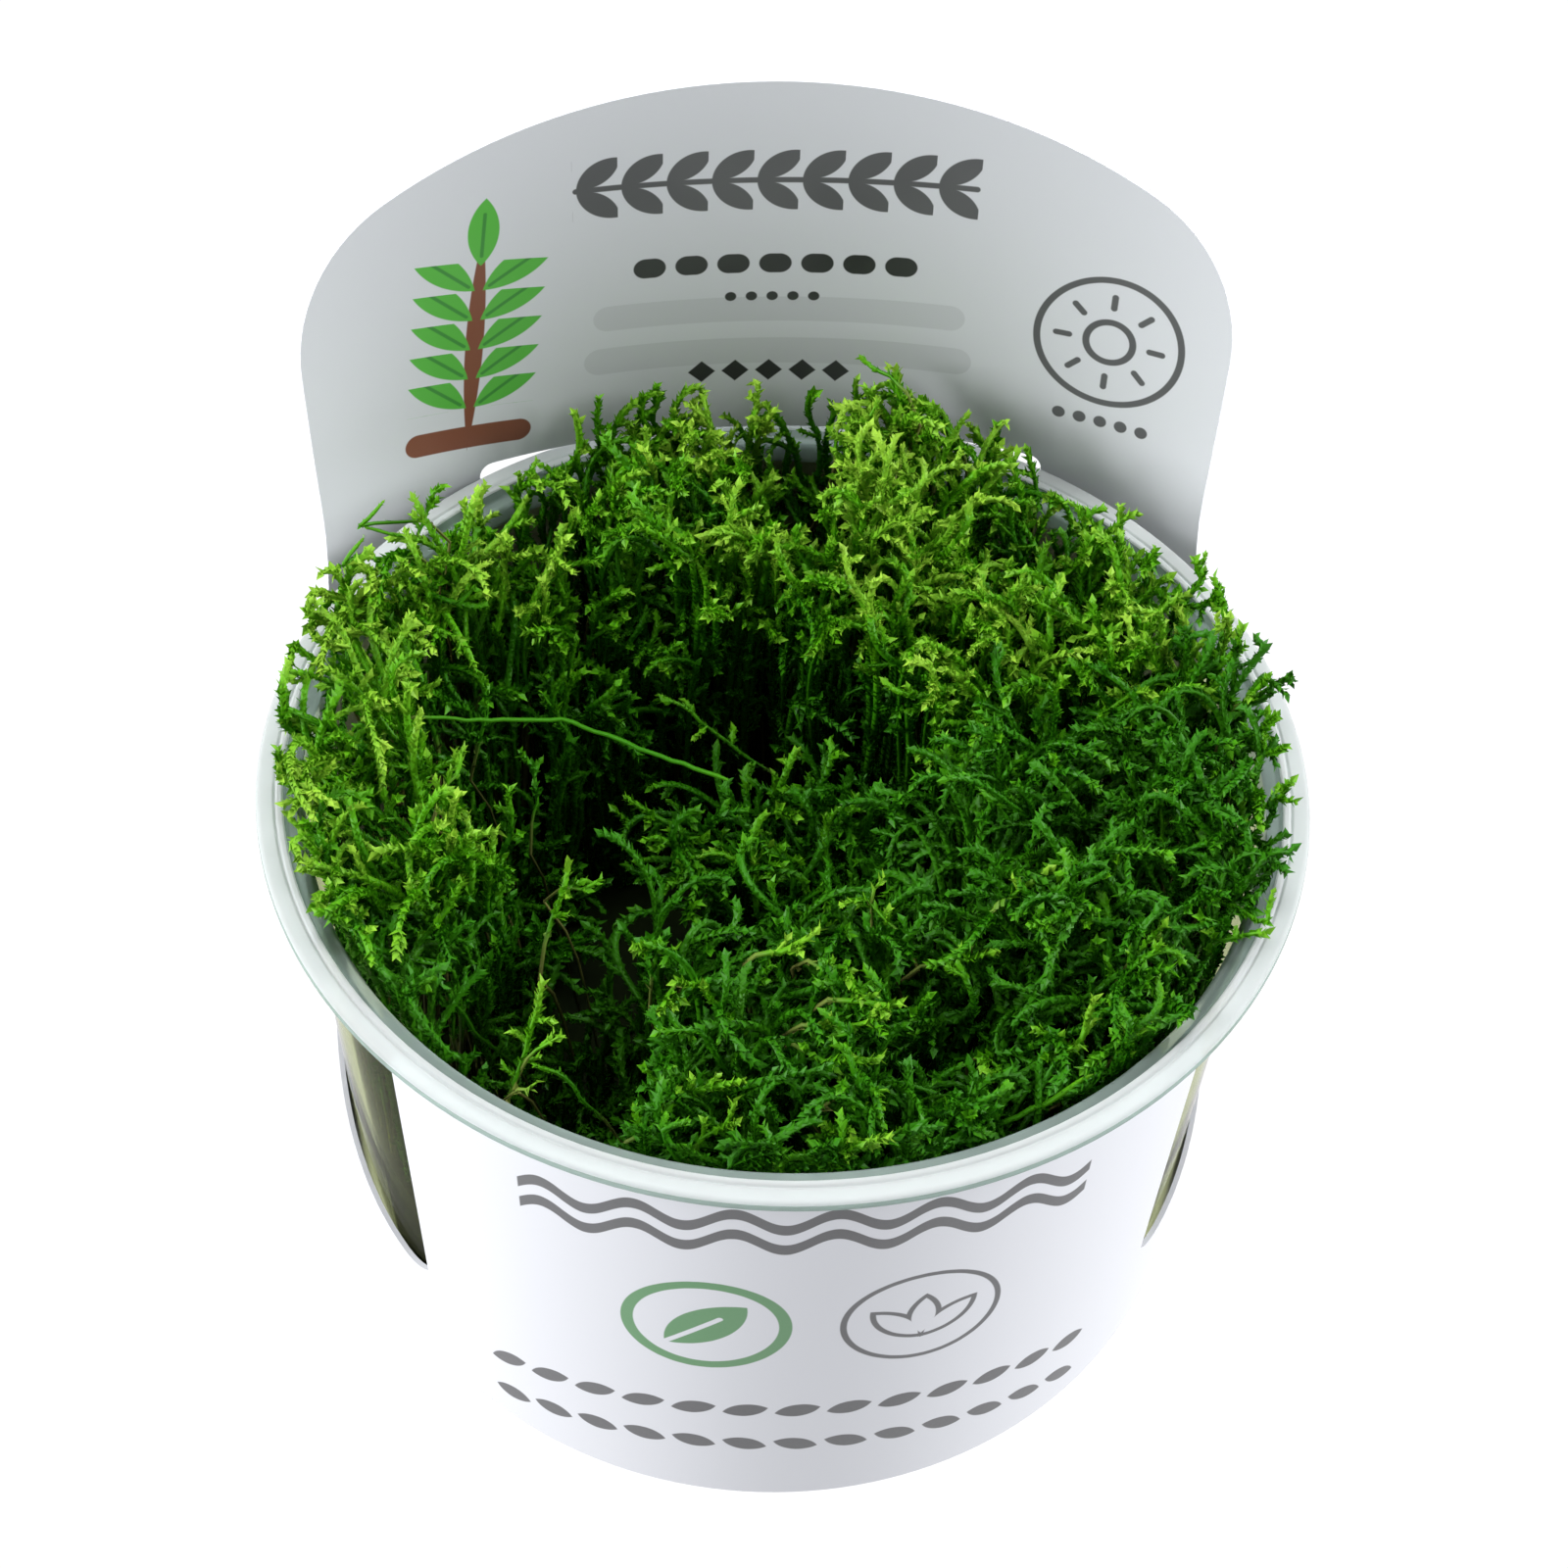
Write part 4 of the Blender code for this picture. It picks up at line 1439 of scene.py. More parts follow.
# The marked shoots of each tuft, in the order in which they are grown
MARKS = {
    "back_right": (
        # Tall spray at the back
        Mark((48, 65), ((812, 565), (838, 520), (852, 478), (853, 440)),
             0.2, 0.28, 0.6, bare=14.0, twigs=False),
        Mark((61, 72), ((946, 470), (930, 430), (916, 392), (915, 373)), 0.4, 0.33),
        Mark((70, 72), ((925, 400), (908, 382), (892, 367), (881, 354)), 0.3, 0.27, 0.8, twigs=False),
        Mark((66, 67), ((924, 440), (900, 440), (878, 441), (866, 436)), 0.9, 0.23, 0.7),
        Mark((66, 69), ((880, 442), (884, 428), (895, 411)), 0.7, 0.22, 0.8),
        Mark((64, 68), ((920, 470), (928, 440), (922, 406), (888, 400)), 0.9, 0.20, 0.8),
        Mark((62, 68), ((985, 470), (968, 440), (945, 415), (934, 425)), 0.8, 0.30),
        Mark((60, 64), ((955, 490), (966, 458), (988, 457)), 0.5, 0.27),
        Mark((56, 66), ((1020, 500), (1018, 460), (1017, 436)), 0.2, 0.26),
        Mark((56, 64), ((1070, 520), (1068, 480), (1050, 462)), 0.5, 0.30),
    ),
    "back_left": (
        # Fingers of the back left tuft
        Mark((56, 67), ((610, 470), (602, 430), (608, 405)), 0.2, 0.27),
        Mark((56, 67), ((676, 460), (664, 420), (670, 396)), 0.2, 0.28),
        Mark((58, 66), ((640, 455), (648, 425), (655, 407)), 0.2, 0.30),
        Mark((56, 65), ((735, 480), (720, 450), (708, 432), (680, 432)), 0.2, 0.23),
        Mark((55, 64), ((770, 470), (775, 445), (768, 425)), 0.2, 0.23),
        Mark((52, 62), ((552, 540), (545, 490), (562, 450), (580, 430)), 0.5, 0.25),
        Mark((50, 57), ((540, 600), (556, 570), (560, 520), (545, 480)), 0.7, 0.22),
    ),
    "left": (
        # Loops that lie over the rim at the left
        Mark((64, 66), ((436, 531), (400, 532), (362, 530), (340, 528), (338, 508), (346, 492)),
             0.4, 0.23, 0.45, twigs=False),
        Mark((64, 65), ((434, 548), (400, 546), (378, 540), (360, 533)), 0.4, 0.23, 0.45, twigs=False),
        Mark((63, 64), ((428, 568), (395, 570), (365, 568), (340, 577), (330, 566), (334, 548), (356, 542)),
             0.6, 0.23, 0.45, twigs=False),
        Mark((62, 67), ((420, 560), (436, 520), (440, 505), (452, 497)), 0.3, 0.23),
        Mark((62, 64), ((420, 600), (400, 590), (385, 575), (380, 560)), 0.4, 0.20, 0.5, twigs=False),
        # Left side tips and swept strands
        Mark((56, 62), ((350, 690), (334, 675), (324, 660), (318, 645)), 0.2, 0.22),
        Mark((58, 64), ((356, 690), (353, 660), (350, 634), (361, 624)), 0.4, 0.22),
        Mark((58, 63), ((374, 672), (382, 648), (384, 624)), 0.5, 0.22),
        Mark((52, 62), ((334, 890), (328, 842), (322, 790), (314, 758), (300, 750)),
             1.0, 0.30, 0.6, twigs=False),
        Mark((54, 60), ((392, 762), (389, 722), (381, 698)), 0.9, 0.28),
        Mark((54, 60), ((350, 850), (352, 815), (372, 790), (396, 768)), 0.7, 0.31),
        Mark((55, 61), ((396, 825), (402, 808), (430, 792), (462, 776), (472, 766)), 1.0, 0.31),
        Mark((60, 61), ((452, 804), (466, 790), (471, 768)), 1.0, 0.27),
        Mark((54, 59), ((440, 905), (430, 860), (398, 830), (392, 812)), 0.5, 0.28),
        Mark((54, 60), ((410, 990), (430, 960), (455, 930), (470, 900)), 1.0, 0.28),
        Mark((50, 58), ((486, 770), (495, 735), (495, 710), (492, 690)), 0.4, 0.23),
        Mark((50, 57), ((542, 842), (548, 805), (543, 782), (531, 768)), 0.2, 0.23),
        Mark((52, 60), ((505, 884), (520, 856), (523, 830), (518, 806)), 0.7, 0.33),
        # Bare stem across the hollow
        Mark((60, 56), ((420, 731), (479, 735), (577, 735), (612, 747), (666, 770), (742, 796)),
             0.7, 0.23, 0.30, twigs=False),
    ),
    "middle": (
        # Bare stem across the hollow
        Mark((46, 53), ((790, 790), (745, 760), (700, 722), (676, 700)), 0.2, 0.22, 0.6),
    ),
    "front_left": (
        # Front left, over the dark valley
        Mark((52, 60), ((518, 1124), (524, 1100), (536, 1070), (545, 1042), (552, 1006)), 1.1, 0.28),
        Mark((55, 58), ((536, 1084), (548, 1074), (568, 1058)), 0.9, 0.22),
        Mark((54, 59), ((555, 966), (563, 936), (573, 913), (580, 884)), 0.8, 0.27),
        Mark((57, 58), ((575, 905), (598, 906), (614, 896)), 0.3, 0.19),
        Mark((40, 55), ((524, 1086), (490, 1058), (463, 1022), (443, 990)), 0.2, 0.23, 0.6, twigs=False),
        Mark((50, 57), ((620, 1146), (594, 1122), (570, 1094), (546, 1088)), 0.2, 0.22, 0.6, twigs=False),
        Mark((57, 58), ((517, 1126), (535, 1121), (548, 1106)), 1.0, 0.20),
        # Front middle loops and combs
        Mark((54, 59), ((664, 1005), (664, 985), (672, 964), (648, 966)), 0.6, 0.25),
        Mark((52, 59), ((748, 1082), (752, 1058), (733, 1026), (714, 1006), (690, 1002)), 0.7, 0.23),
        Mark((56, 58), ((690, 1002), (680, 1020), (672, 1034)), 0.9, 0.28),
        Mark((54, 58), ((640, 1165), (668, 1150), (690, 1120), (720, 1110), (755, 1104)), 0.8, 0.28),
        Mark((54, 58), ((700, 1190), (716, 1160), (740, 1150), (748, 1125)), 0.9, 0.28),
    ),
    "front_right": (
        # Front middle loops and combs
        Mark((57, 59), ((818, 1046), (850, 1048), (880, 1046), (901, 1038)), 1.0, 0.25),
        Mark((56, 58), ((810, 1066), (838, 1082), (868, 1083), (897, 1080)), 0.8, 0.25),
        Mark((56, 58), ((850, 1122), (880, 1116), (906, 1112)), 0.7, 0.25),
        Mark((58, 60), ((826, 980), (848, 990), (862, 985), (870, 1005), (878, 1020)), 0.7, 0.27),
        Mark((58, 60), ((846, 1020), (878, 1022), (900, 1026), (918, 1026)), 0.8, 0.30),
        Mark((57, 60), ((770, 976), (806, 970), (836, 950)), 1.3, 0.33),
        Mark((50, 57), ((864, 1186), (846, 1175), (842, 1156), (866, 1152)), 0.8, 0.22),
        Mark((56, 59.5), ((866, 1152), (878, 1166), (866, 1182), (874, 1197), (894, 1200), (914, 1196)),
             1.1, 0.25),
        Mark((48, 55), ((1050, 1125), (1048, 1090), (1028, 1080), (1002, 1078)), 0.5, 0.22),
        Mark((54, 56), ((1002, 1078), (1020, 1090), (1034, 1106)), 1.1, 0.23),
        Mark((50, 57), ((940, 1152), (1000, 1153), (1060, 1132), (1128, 1112)), 0.9, 0.28, 0.5,
             twigs=False),
        Mark((54, 60), ((1078, 1090), (1104, 1062), (1110, 1040), (1117, 1022)), 1.3, 0.33),
        Mark((55, 58), ((1076, 1094), (1072, 1078), (1100, 1066)), 0.7, 0.25),
        Mark((54, 59), ((1136, 1080), (1150, 1062), (1170, 1044)), 1.0, 0.27),
        # Bright shoots right of the middle
        Mark((57, 59), ((923, 957), (900, 935), (885, 918), (862, 921)), 0.8, 0.23),
        Mark((58, 60), ((889, 925), (890, 908), (899, 896)), 1.0, 0.23),
        Mark((56, 59), ((940, 986), (980, 980), (1014, 970)), 0.7, 0.22),
    ),
    "right_front": (
        # Bright shoots right of the middle
        Mark((60, 62), ((1008, 934), (1034, 913), (1054, 898), (1070, 888)), 1.3, 0.25),
        Mark((58, 62), ((1150, 985), (1170, 960), (1186, 946)), 0.8, 0.23),
        # Tips over the rim at the right
        Mark((60, 66), ((1258, 728), (1278, 710), (1294, 693)), 0.5, 0.27),
        Mark((58, 66), ((1284, 765), (1290, 742), (1302, 732)), 0.5, 0.28),
        Mark((60, 65), ((1276, 778), (1295, 767), (1310, 764)), 0.3, 0.23),
        Mark((58, 66), ((1275, 842), (1288, 827), (1304, 815), (1317, 798)), 0.5, 0.23),
        Mark((54, 62), ((1262, 912), (1275, 882), (1292, 869), (1311, 867)), 0.3, 0.22, 0.6, twigs=False),
        Mark((58, 63), ((1230, 928), (1244, 921), (1264, 925), (1282, 940), (1295, 942), (1298, 913)),
             0.7, 0.27, 0.8, twigs=False),
        Mark((57, 62), ((1240, 972), (1260, 970), (1276, 964), (1292, 953)), 0.7, 0.25),
        Mark((56, 62), ((1186, 894), (1186, 838), (1183, 812)), 0.8, 0.27),
        Mark((56, 61), ((1222, 874), (1242, 880), (1264, 876), (1271, 848), (1267, 820)), 0.8, 0.28),
    ),
    "right_back": (
        # Tips over the rim at the right
        Mark((55, 66), ((1222, 640), (1230, 615), (1226, 590), (1221, 569)), 0.5, 0.36),
        Mark((58, 66), ((1218, 700), (1242, 682), (1264, 660), (1267, 638)), 0.6, 0.36),
        Mark((55, 64), ((1150, 620), (1170, 600), (1168, 575), (1178, 562)), 0.4, 0.31),
    ),
}


@dataclass
class MossGrower:
    """Grows a tuft's guide lines, in mm, inside the cup and up to the tuft's top."""

    cup: CultureCup
    view: Viewpoint
    marks: dict[str, tuple[Mark, ...]] = field(default_factory=lambda: MARKS)
    shape: StemShape = StemShape()
    tips: TipShape = TipShape()
    twigs: TwigShape = TwigShape()
    marking: MarkShape = MarkShape()
    gel_top: float = 21.3
    gap: float = 0.6
    leaf_length: float = 1.02
    stem: float = 0.32
    # Painted shade: depth over which the leaves' colour darkens below the light height.
    light_depth: float = 25.0
    dips: tuple[Dip, ...] = (
        Dip((-20.5, -25.0), (9.0, 21.0), 32.0),
        Dip((-24.0, 4.0), (10.0, 15.0), 32.0),
        Dip((-12.0, 17.0), (9.0, 6.0), 14.0),
        Dip((9.0, -11.0), (7.0, 6.5), 8.0),
        Dip((14.0, 0.5), (8.0, 5.0), 7.0),
        Dip((14.0, -31.0), (8.0, 5.5), 10.0),
        Dip((3.5, 33.0), (4.5, 9.0), 18.0),
        Dip((-23.5, 27.5), (4.5, 7.0), 12.0),
        Dip((27.0, 8.0), (4.5, 5.0), 5.0),
        Dip((-2.0, -21.0), (5.0, 4.0), 6.0),
    )
    patch_pitch: float = 8.0
    patch_depth: float = 4.5
    patch_shift: float = 0.1
    shortest: float = 10.0
    overhang: float = 4.0
    rim_clear: float = 1.0
    lean_rise: float = 2.7
    margin: float = 0.5
    step: float = 0.7
    leaf_fade: float = 8.0
    # Lowest painted shade, and painted light near the cup's wall over wall_band mm.
    least_light: float = 0.25
    wall_light: float = 0.45
    wall_band: float = 5.0
    tip_length: float = 2.5
    ages: tuple[float, float, float] = (0.47, 0.19, 0.16)
    rings: tuple[float, float] = (1.1 * MM, 4.0 * MM)
    bushy_band: float = 7.0
    rim_band: float = 41.0
    extra_leafy: float = 14.0
    brightest: float = 64.0
    shade_start: float = 1.5
    noise_seed: int = 3
    shoots: list[Shoot] = field(default_factory=list)

    def limit(self, height: float, reach: float) -> float:
        """Work out how far from the axis the moss may be.

        Args:
            height: above the base, in mm.
            reach: how far the tips may lean over the rim, in mm.

        Returns:
            The largest radius in mm.
        """
        wall_top = self.cup.wall_top / MM
        inside = (self.cup.wall_radius(min(height, wall_top) * MM) - self.cup.wall) / MM - self.gap
        over = self.cup.rim_top / MM + self.rim_clear
        return inside + (reach - inside) * clamped((height - over) / self.lean_rise)

    def kept_in(self, point: Vector, room: Room) -> Vector:
        """Move a point back inside the cup and under the tuft's top.

        Args:
            point: the point, in mm.
            room: where the shoot may grow.

        Returns:
            The allowed point.
        """
        height = clamped(point.z, self.gel_top, room.top - self.margin)
        radius = math.hypot(point.x, point.y)
        scale = min(1.0, (self.limit(height, room.reach) - self.margin) / max(radius, 0.001))
        return Vector((point.x * scale, point.y * scale, height))

    def canopy(self, across: float, along: float, top: float) -> float:
        """Work out how high the moss stands at a place.

        Args:
            across: place in mm.
            along: place in mm.
            top: the tuft's top there, in mm.

        Returns:
            The height, lowered by the dips and by patches of shorter shoots.
        """
        low = sum(dip.at(across, along) for dip in self.dips)
        patch = noise.noise(Vector((across, along, 0.0)) / self.patch_pitch)
        low += self.patch_depth * max(patch + self.patch_shift, 0.0)
        return max(top - low, self.gel_top + self.shortest)

    def wander(self, dice: random.Random, start: Vector, way: Vector, length: float, curl: float,
               rise: float, room: Room) -> list[Vector]:
        """Grow a tip freely, with a bend that slowly changes, until it hangs over a gap.

        Args:
            dice: random numbers.
            start: first point.
            way: first direction.
            length: in mm.
            curl: bend in radians per mm.
            rise: how strongly it turns upwards.
            room: where it may grow.

        Returns:
            The points after the first one.
        """
        step = self.step
        tips = self.tips
        axis = self.scattered(dice, tips.height_spread).normalized()
        place = start.copy()
        way = way.normalized()
        line = []
        for _ in range(max(2, round(length / step))):
            axis = (axis + self.scattered(dice, 1.0) * tips.shake).normalized()
            free = clamped((room.top - place.z) / tips.bow_over)
            lift = UP * (rise - (1.0 - free) * tips.bow_down) * step
            hook = curl * (tips.hook_start + tips.hook_growth * len(line) * step / length)
            way = (way + axis.cross(way) * hook * step + lift).normalized()
            place = self.kept_in(place + way * step, room)
            line.append(place.copy())
            if place.z > self.canopy(place.x, place.y, room.top) + room.over:
                break
        return line

    def add(self, line: list[Vector], leafy_from: float, size: float, tone: float, stem: float,
            light: float) -> None:
        """Record a guide line with what grows on it.

        Args:
            line: its points, in mm.
            leafy_from: distance from its tip at which leaves begin.
            size: leaf length as a share of the usual one.
            tone: lighter or darker than its neighbours.
            stem: radius of its stem, in mm.
            light: height that light reaches undimmed, in mm.
        """
        leafy, bare = (Shoot([], [], [], [], [], ring) for ring in self.rings)
        usual, younger, lighter = self.ages
        for point, left in zip(line, distances(line[::-1])[::-1]):
            taper = min(left / self.tips.taper, 1.0)
            cover = clamped((leafy_from - left) / self.leaf_fade + 0.1)
            # Painted shade: leaves darken with depth below the height that light reaches, down to
            # least_light.
            lit = clamped(1.0 - (light - point.z) / self.light_depth, self.least_light)
            inset = self.limit(point.z, 0.0) - math.hypot(point.x, point.y)
            # Painted light: leaves near the cup's wall are lightened, as if lit through it.
            by_wall = self.wall_light * clamped(1.0 - inset / self.wall_band)
            fresh = math.exp(-left / self.tip_length)
            # The colour value is the shoot's age and tone times this painted shade and light.
            age_and_shade = (usual + younger * fresh + lighter * tone) * max(lit, by_wall)
            parts = [leafy] if left < leafy_from + 1.0 else [bare]
            if parts == [bare] and left < leafy_from + 4.0:
                parts.append(leafy)
            for part in parts:
                part.points.append(point * MM)
                part.stem.append(stem * (0.6 + 0.4 * taper) * (0.75 + 0.25 * cover) * MM)
                part.leaf.append(size * self.leaf_length * MM)
                part.leafy.append(cover)
                part.youth.append(age_and_shade)
        self.shoots += [part for part in (leafy, bare) if len(part.points) > 1]

    def side_shoots(self, dice: random.Random, habit: Habit, line: list[Vector], leafy_from: float,
                    tone: float, room: Room) -> None:
        """Grow side shoots left and right of a leafy stretch, or as a comb on one side.

        Args:
            dice: random numbers.
            habit: how the tuft grows.
            line: the parent's points.
            leafy_from: distance from its tip at which leaves begin.
            tone: the parent's tone.
            room: where they may grow.
        """
        twigs = self.twigs
        flat = self.scattered(dice, twigs.flatness)
        comb = dice.random() < habit.comb
        side = 1.0
        left = 0.0
        wait = dice.uniform(*twigs.first_gap)
        for after, here in zip(line[::-1], line[-2::-1]):
            gone = (after - here).length
            left += gone
            wait -= gone
            if wait > 0.0 or left > leafy_from:
                continue
            wait = dice.uniform(*habit.branch_gap) * (twigs.comb_gap if comb else 1.0)
            wait *= 1.0 + left / twigs.gap_growth
            along = (after - here).normalized()
            out = along.cross(flat).normalized() * side
            side = side if comb else -side
            opened = math.radians(dice.uniform(*habit.branch_angle))
            way = along * math.cos(opened) + out * math.sin(opened)
            shortest, longest = habit.branch_length
            length = shortest + (longest - shortest) * min(left / twigs.full_length, 1.0)
            length *= dice.uniform(*twigs.length_share)
            curl = dice.uniform(*twigs.curl)
            rise = dice.uniform(*habit.rise) + twigs.extra_rise
            grown = [here] + self.wander(dice, here, way, length, curl, rise, room)
            size = dice.uniform(*twigs.leaf_share)
            shade = tone + dice.gauss(0.0, twigs.tone_spread)
            self.add(grown, twigs.leafy, size, shade, self.stem * twigs.stem_share, room.light)

    def stem_line(self, dice: random.Random, foot: Vector, tip: Vector, radius: float,
                  room: Room) -> list[Vector]:
        """Draw a stem from the gel, with a bow and a slight sway.

        Args:
            dice: random numbers.
            foot: middle of the tuft's foot on the gel.
            tip: where the stem ends and its free tip begins, in mm.
            radius: distance of that place from the axis.
            room: where it may grow.

        Returns:
            The stem's points.
        """
        shape = self.shape
        by_wall = clamped((radius - shape.steep_from) / shape.steep_over)
        inward = dice.uniform(*shape.inward) * (1.0 - shape.steepness * by_wall)
        root = foot.lerp(Vector((tip.x, tip.y, 0.0)), 1.0 - inward)
        root.x += dice.gauss(0, shape.root_scatter)
        root.y += dice.gauss(0, shape.root_scatter)
        root.z = self.gel_top
        root = self.kept_in(root, room) - UP
        patch = noise.noise_vector(tip / self.patch_pitch)
        middle = root.lerp(tip, shape.bow_at) + Vector((patch.x, patch.y, 0.0)) * shape.bow_drift
        middle.z = root.z + (tip.z - root.z) * shape.bow_height
        line = [root]
        for step in range(1, shape.pieces + 1):
            share = step / shape.pieces
            point = bowed(root, middle, tip, share)
            grain = (root.x * shape.sway_across, root.y * shape.sway_across, share * shape.sway_along)
            sway = noise.noise_vector(Vector(grain))
            point += Vector((sway.x, sway.y, 0.0)) * shape.sway * share
            line.append(self.kept_in(point, room))
        return line

    def tip_way(self, dice: random.Random, habit: Habit, line: list[Vector], tip: Vector,
                radius: float) -> Vector:
        """Turn a stem's free tip outwards, with the tips round it and a little by chance.

        Args:
            dice: random numbers.
            habit: how the tuft grows.
            line: the stem's points.
            tip: where the stem ends, in mm.
            radius: distance of that place from the axis.

        Returns:
            The tip's first direction.
        """
        shape = self.shape
        patch = noise.noise_vector(tip / self.patch_pitch)
        outward = Vector((tip.x, tip.y, 0.0)) / max(radius, 0.001)
        lean = outward * max(radius - shape.lean_from, 0.0) / shape.lean_over * habit.lean
        way = (line[-1] - line[-2]).normalized()
        way += lean * dice.uniform(*shape.lean_share)
        drift = Vector((patch.y, patch.x, 0.0)) * shape.tip_drift
        way += drift + Vector(habit.sweep) * dice.uniform(*shape.sweep_share)
        way += Vector((dice.gauss(0, shape.scatter), dice.gauss(0, shape.scatter), 0.0))
        return way

    def main_shoot(self, dice: random.Random, tuft: MossTuft, foot: Vector) -> None:
        """Grow one stem from the gel to the tuft's top, with its side shoots.

        Args:
            dice: random numbers.
            tuft: the tuft that it belongs to.
            foot: middle of the tuft's foot on the gel.
        """
        habit = tuft.growth.value
        shape = self.shape
        across, along, top = tuft.spot(dice)
        # Light height from the tuft's top, so the painted shade deepens in the dips.
        room = Room(tuft.reach, top, self.overhang, min(top, self.brightest) - self.shade_start)
        radius = math.hypot(across, along)
        canopy = self.canopy(across, along, top)
        crook = dice.uniform(*habit.crook)
        crook *= 1.0 - shape.pit_curb * min((top - canopy) / shape.pit_depth, 1.0)
        height = canopy - shape.tip_room - crook * shape.tip_drop - dice.expovariate(1.0 / habit.ragged)
        tip = Vector((across, along, max(height, self.gel_top + shape.shortest)))
        line = self.stem_line(dice, foot, tip, radius, room)
        way = self.tip_way(dice, habit, line, tip, radius)
        curl = dice.uniform(*habit.curl)
        line += self.wander(dice, line[-1], way, crook, curl, dice.uniform(*habit.rise), room)
        tone = dice.gauss(habit.bright * shape.tone_gain, shape.tone_spread)
        tone += noise.noise(tip / self.patch_pitch) * shape.tone_patches
        leafy_from = dice.uniform(*habit.leafy) + crook * shape.leafy_tip
        if radius < tuft.inner + self.bushy_band or radius > self.rim_band:
            leafy_from += self.extra_leafy
        size = dice.uniform(*shape.leaf_share)
        stem = self.stem * dice.uniform(*shape.stem_share)
        self.add(line, leafy_from, size, tone, stem, room.light)
        self.side_shoots(dice, habit, line, leafy_from, tone, room)

    def grow(self, tuft: MossTuft) -> list[Shoot]:
        """Grow a whole tuft.

        Args:
            tuft: its sizes.

        Returns:
            Its guide lines, in metres.
        """
        self.shoots = []
        dice = random.Random(tuft.seed)
        noise.seed_set(self.noise_seed)
        spots = [Vector(tuft.spot(dice)) for _ in range(200)]
        foot = sum(spots, Vector()) / len(spots)
        foot.z = 0.0
        for _ in range(round(tuft.area / tuft.growth.value.spacing)):
            self.main_shoot(dice, tuft, foot)
        for mark in self.marks.get(tuft.name, ()):
            self.marked_shoot(dice, tuft, mark)
        return self.shoots

    def marked_shoot(self, dice: random.Random, tuft: MossTuft, mark: Mark) -> None:
        """Grow a shoot along a line that the photo shows, on a stem of its own.

        Args:
            dice: random numbers.
            tuft: the tuft that it belongs to.
            mark: the shoot.
        """
        shape = self.marking
        path = [Vector(pixel) for pixel in mark.pixels]
        gone = distances(path)
        low, high = mark.heights
        top = max(tuft.tops) + shape.extra_top
        light = min(tuft.tops[1], self.brightest) - self.shade_start
        room = Room(tuft.reach + shape.extra_reach, top, top, light)
        line = []
        for pixel, way in zip(path, gone):
            height = low + (high - low) * way / gone[-1]
            line.append(self.kept_in(self.view.at_height(pixel, height), room))
        line = self.roughened(line)
        first = line[0]
        root = Vector((first.x * shape.root, first.y * shape.root, self.gel_top - 1.0))
        bend_height = first.z * shape.bend_height + root.z * (1.0 - shape.bend_height)
        bend = Vector((first.x * shape.bend, first.y * shape.bend, bend_height))
        ahead = (line[0] - line[1]).normalized() * shape.joint_back
        joint = self.kept_in(first + Vector((ahead.x, ahead.y, -shape.joint_down)), room)
        whole = distances(line)[-1]
        self.add([root, bend, joint] + line, whole - mark.bare, mark.leaf, mark.tone, mark.stem, light)
        if mark.twigs:
            self.side_shoots(dice, MARK_TWIGS, line, whole * shape.twiggy, mark.tone, room)

    @staticmethod
    def scattered(dice: random.Random, upright: float) -> Vector:
        """Return a random direction, its height drawn with a spread of its own."""
        return Vector((dice.gauss(0, 1), dice.gauss(0, 1), dice.gauss(0, upright)))

    def roughened(self, line: list[Vector]) -> list[Vector]:
        """Return the line with a point at every step, each a little off it."""
        fine = [line[0]]
        for first, second in zip(line, line[1:]):
            pieces = max(1, round((second - first).length / self.step))
            for step in range(1, pieces + 1):
                point = first.lerp(second, step / pieces)
                wobble = noise.noise_vector(point / self.marking.wobble_pitch)
                fine.append(point + wobble * self.marking.wobble)
        return fine


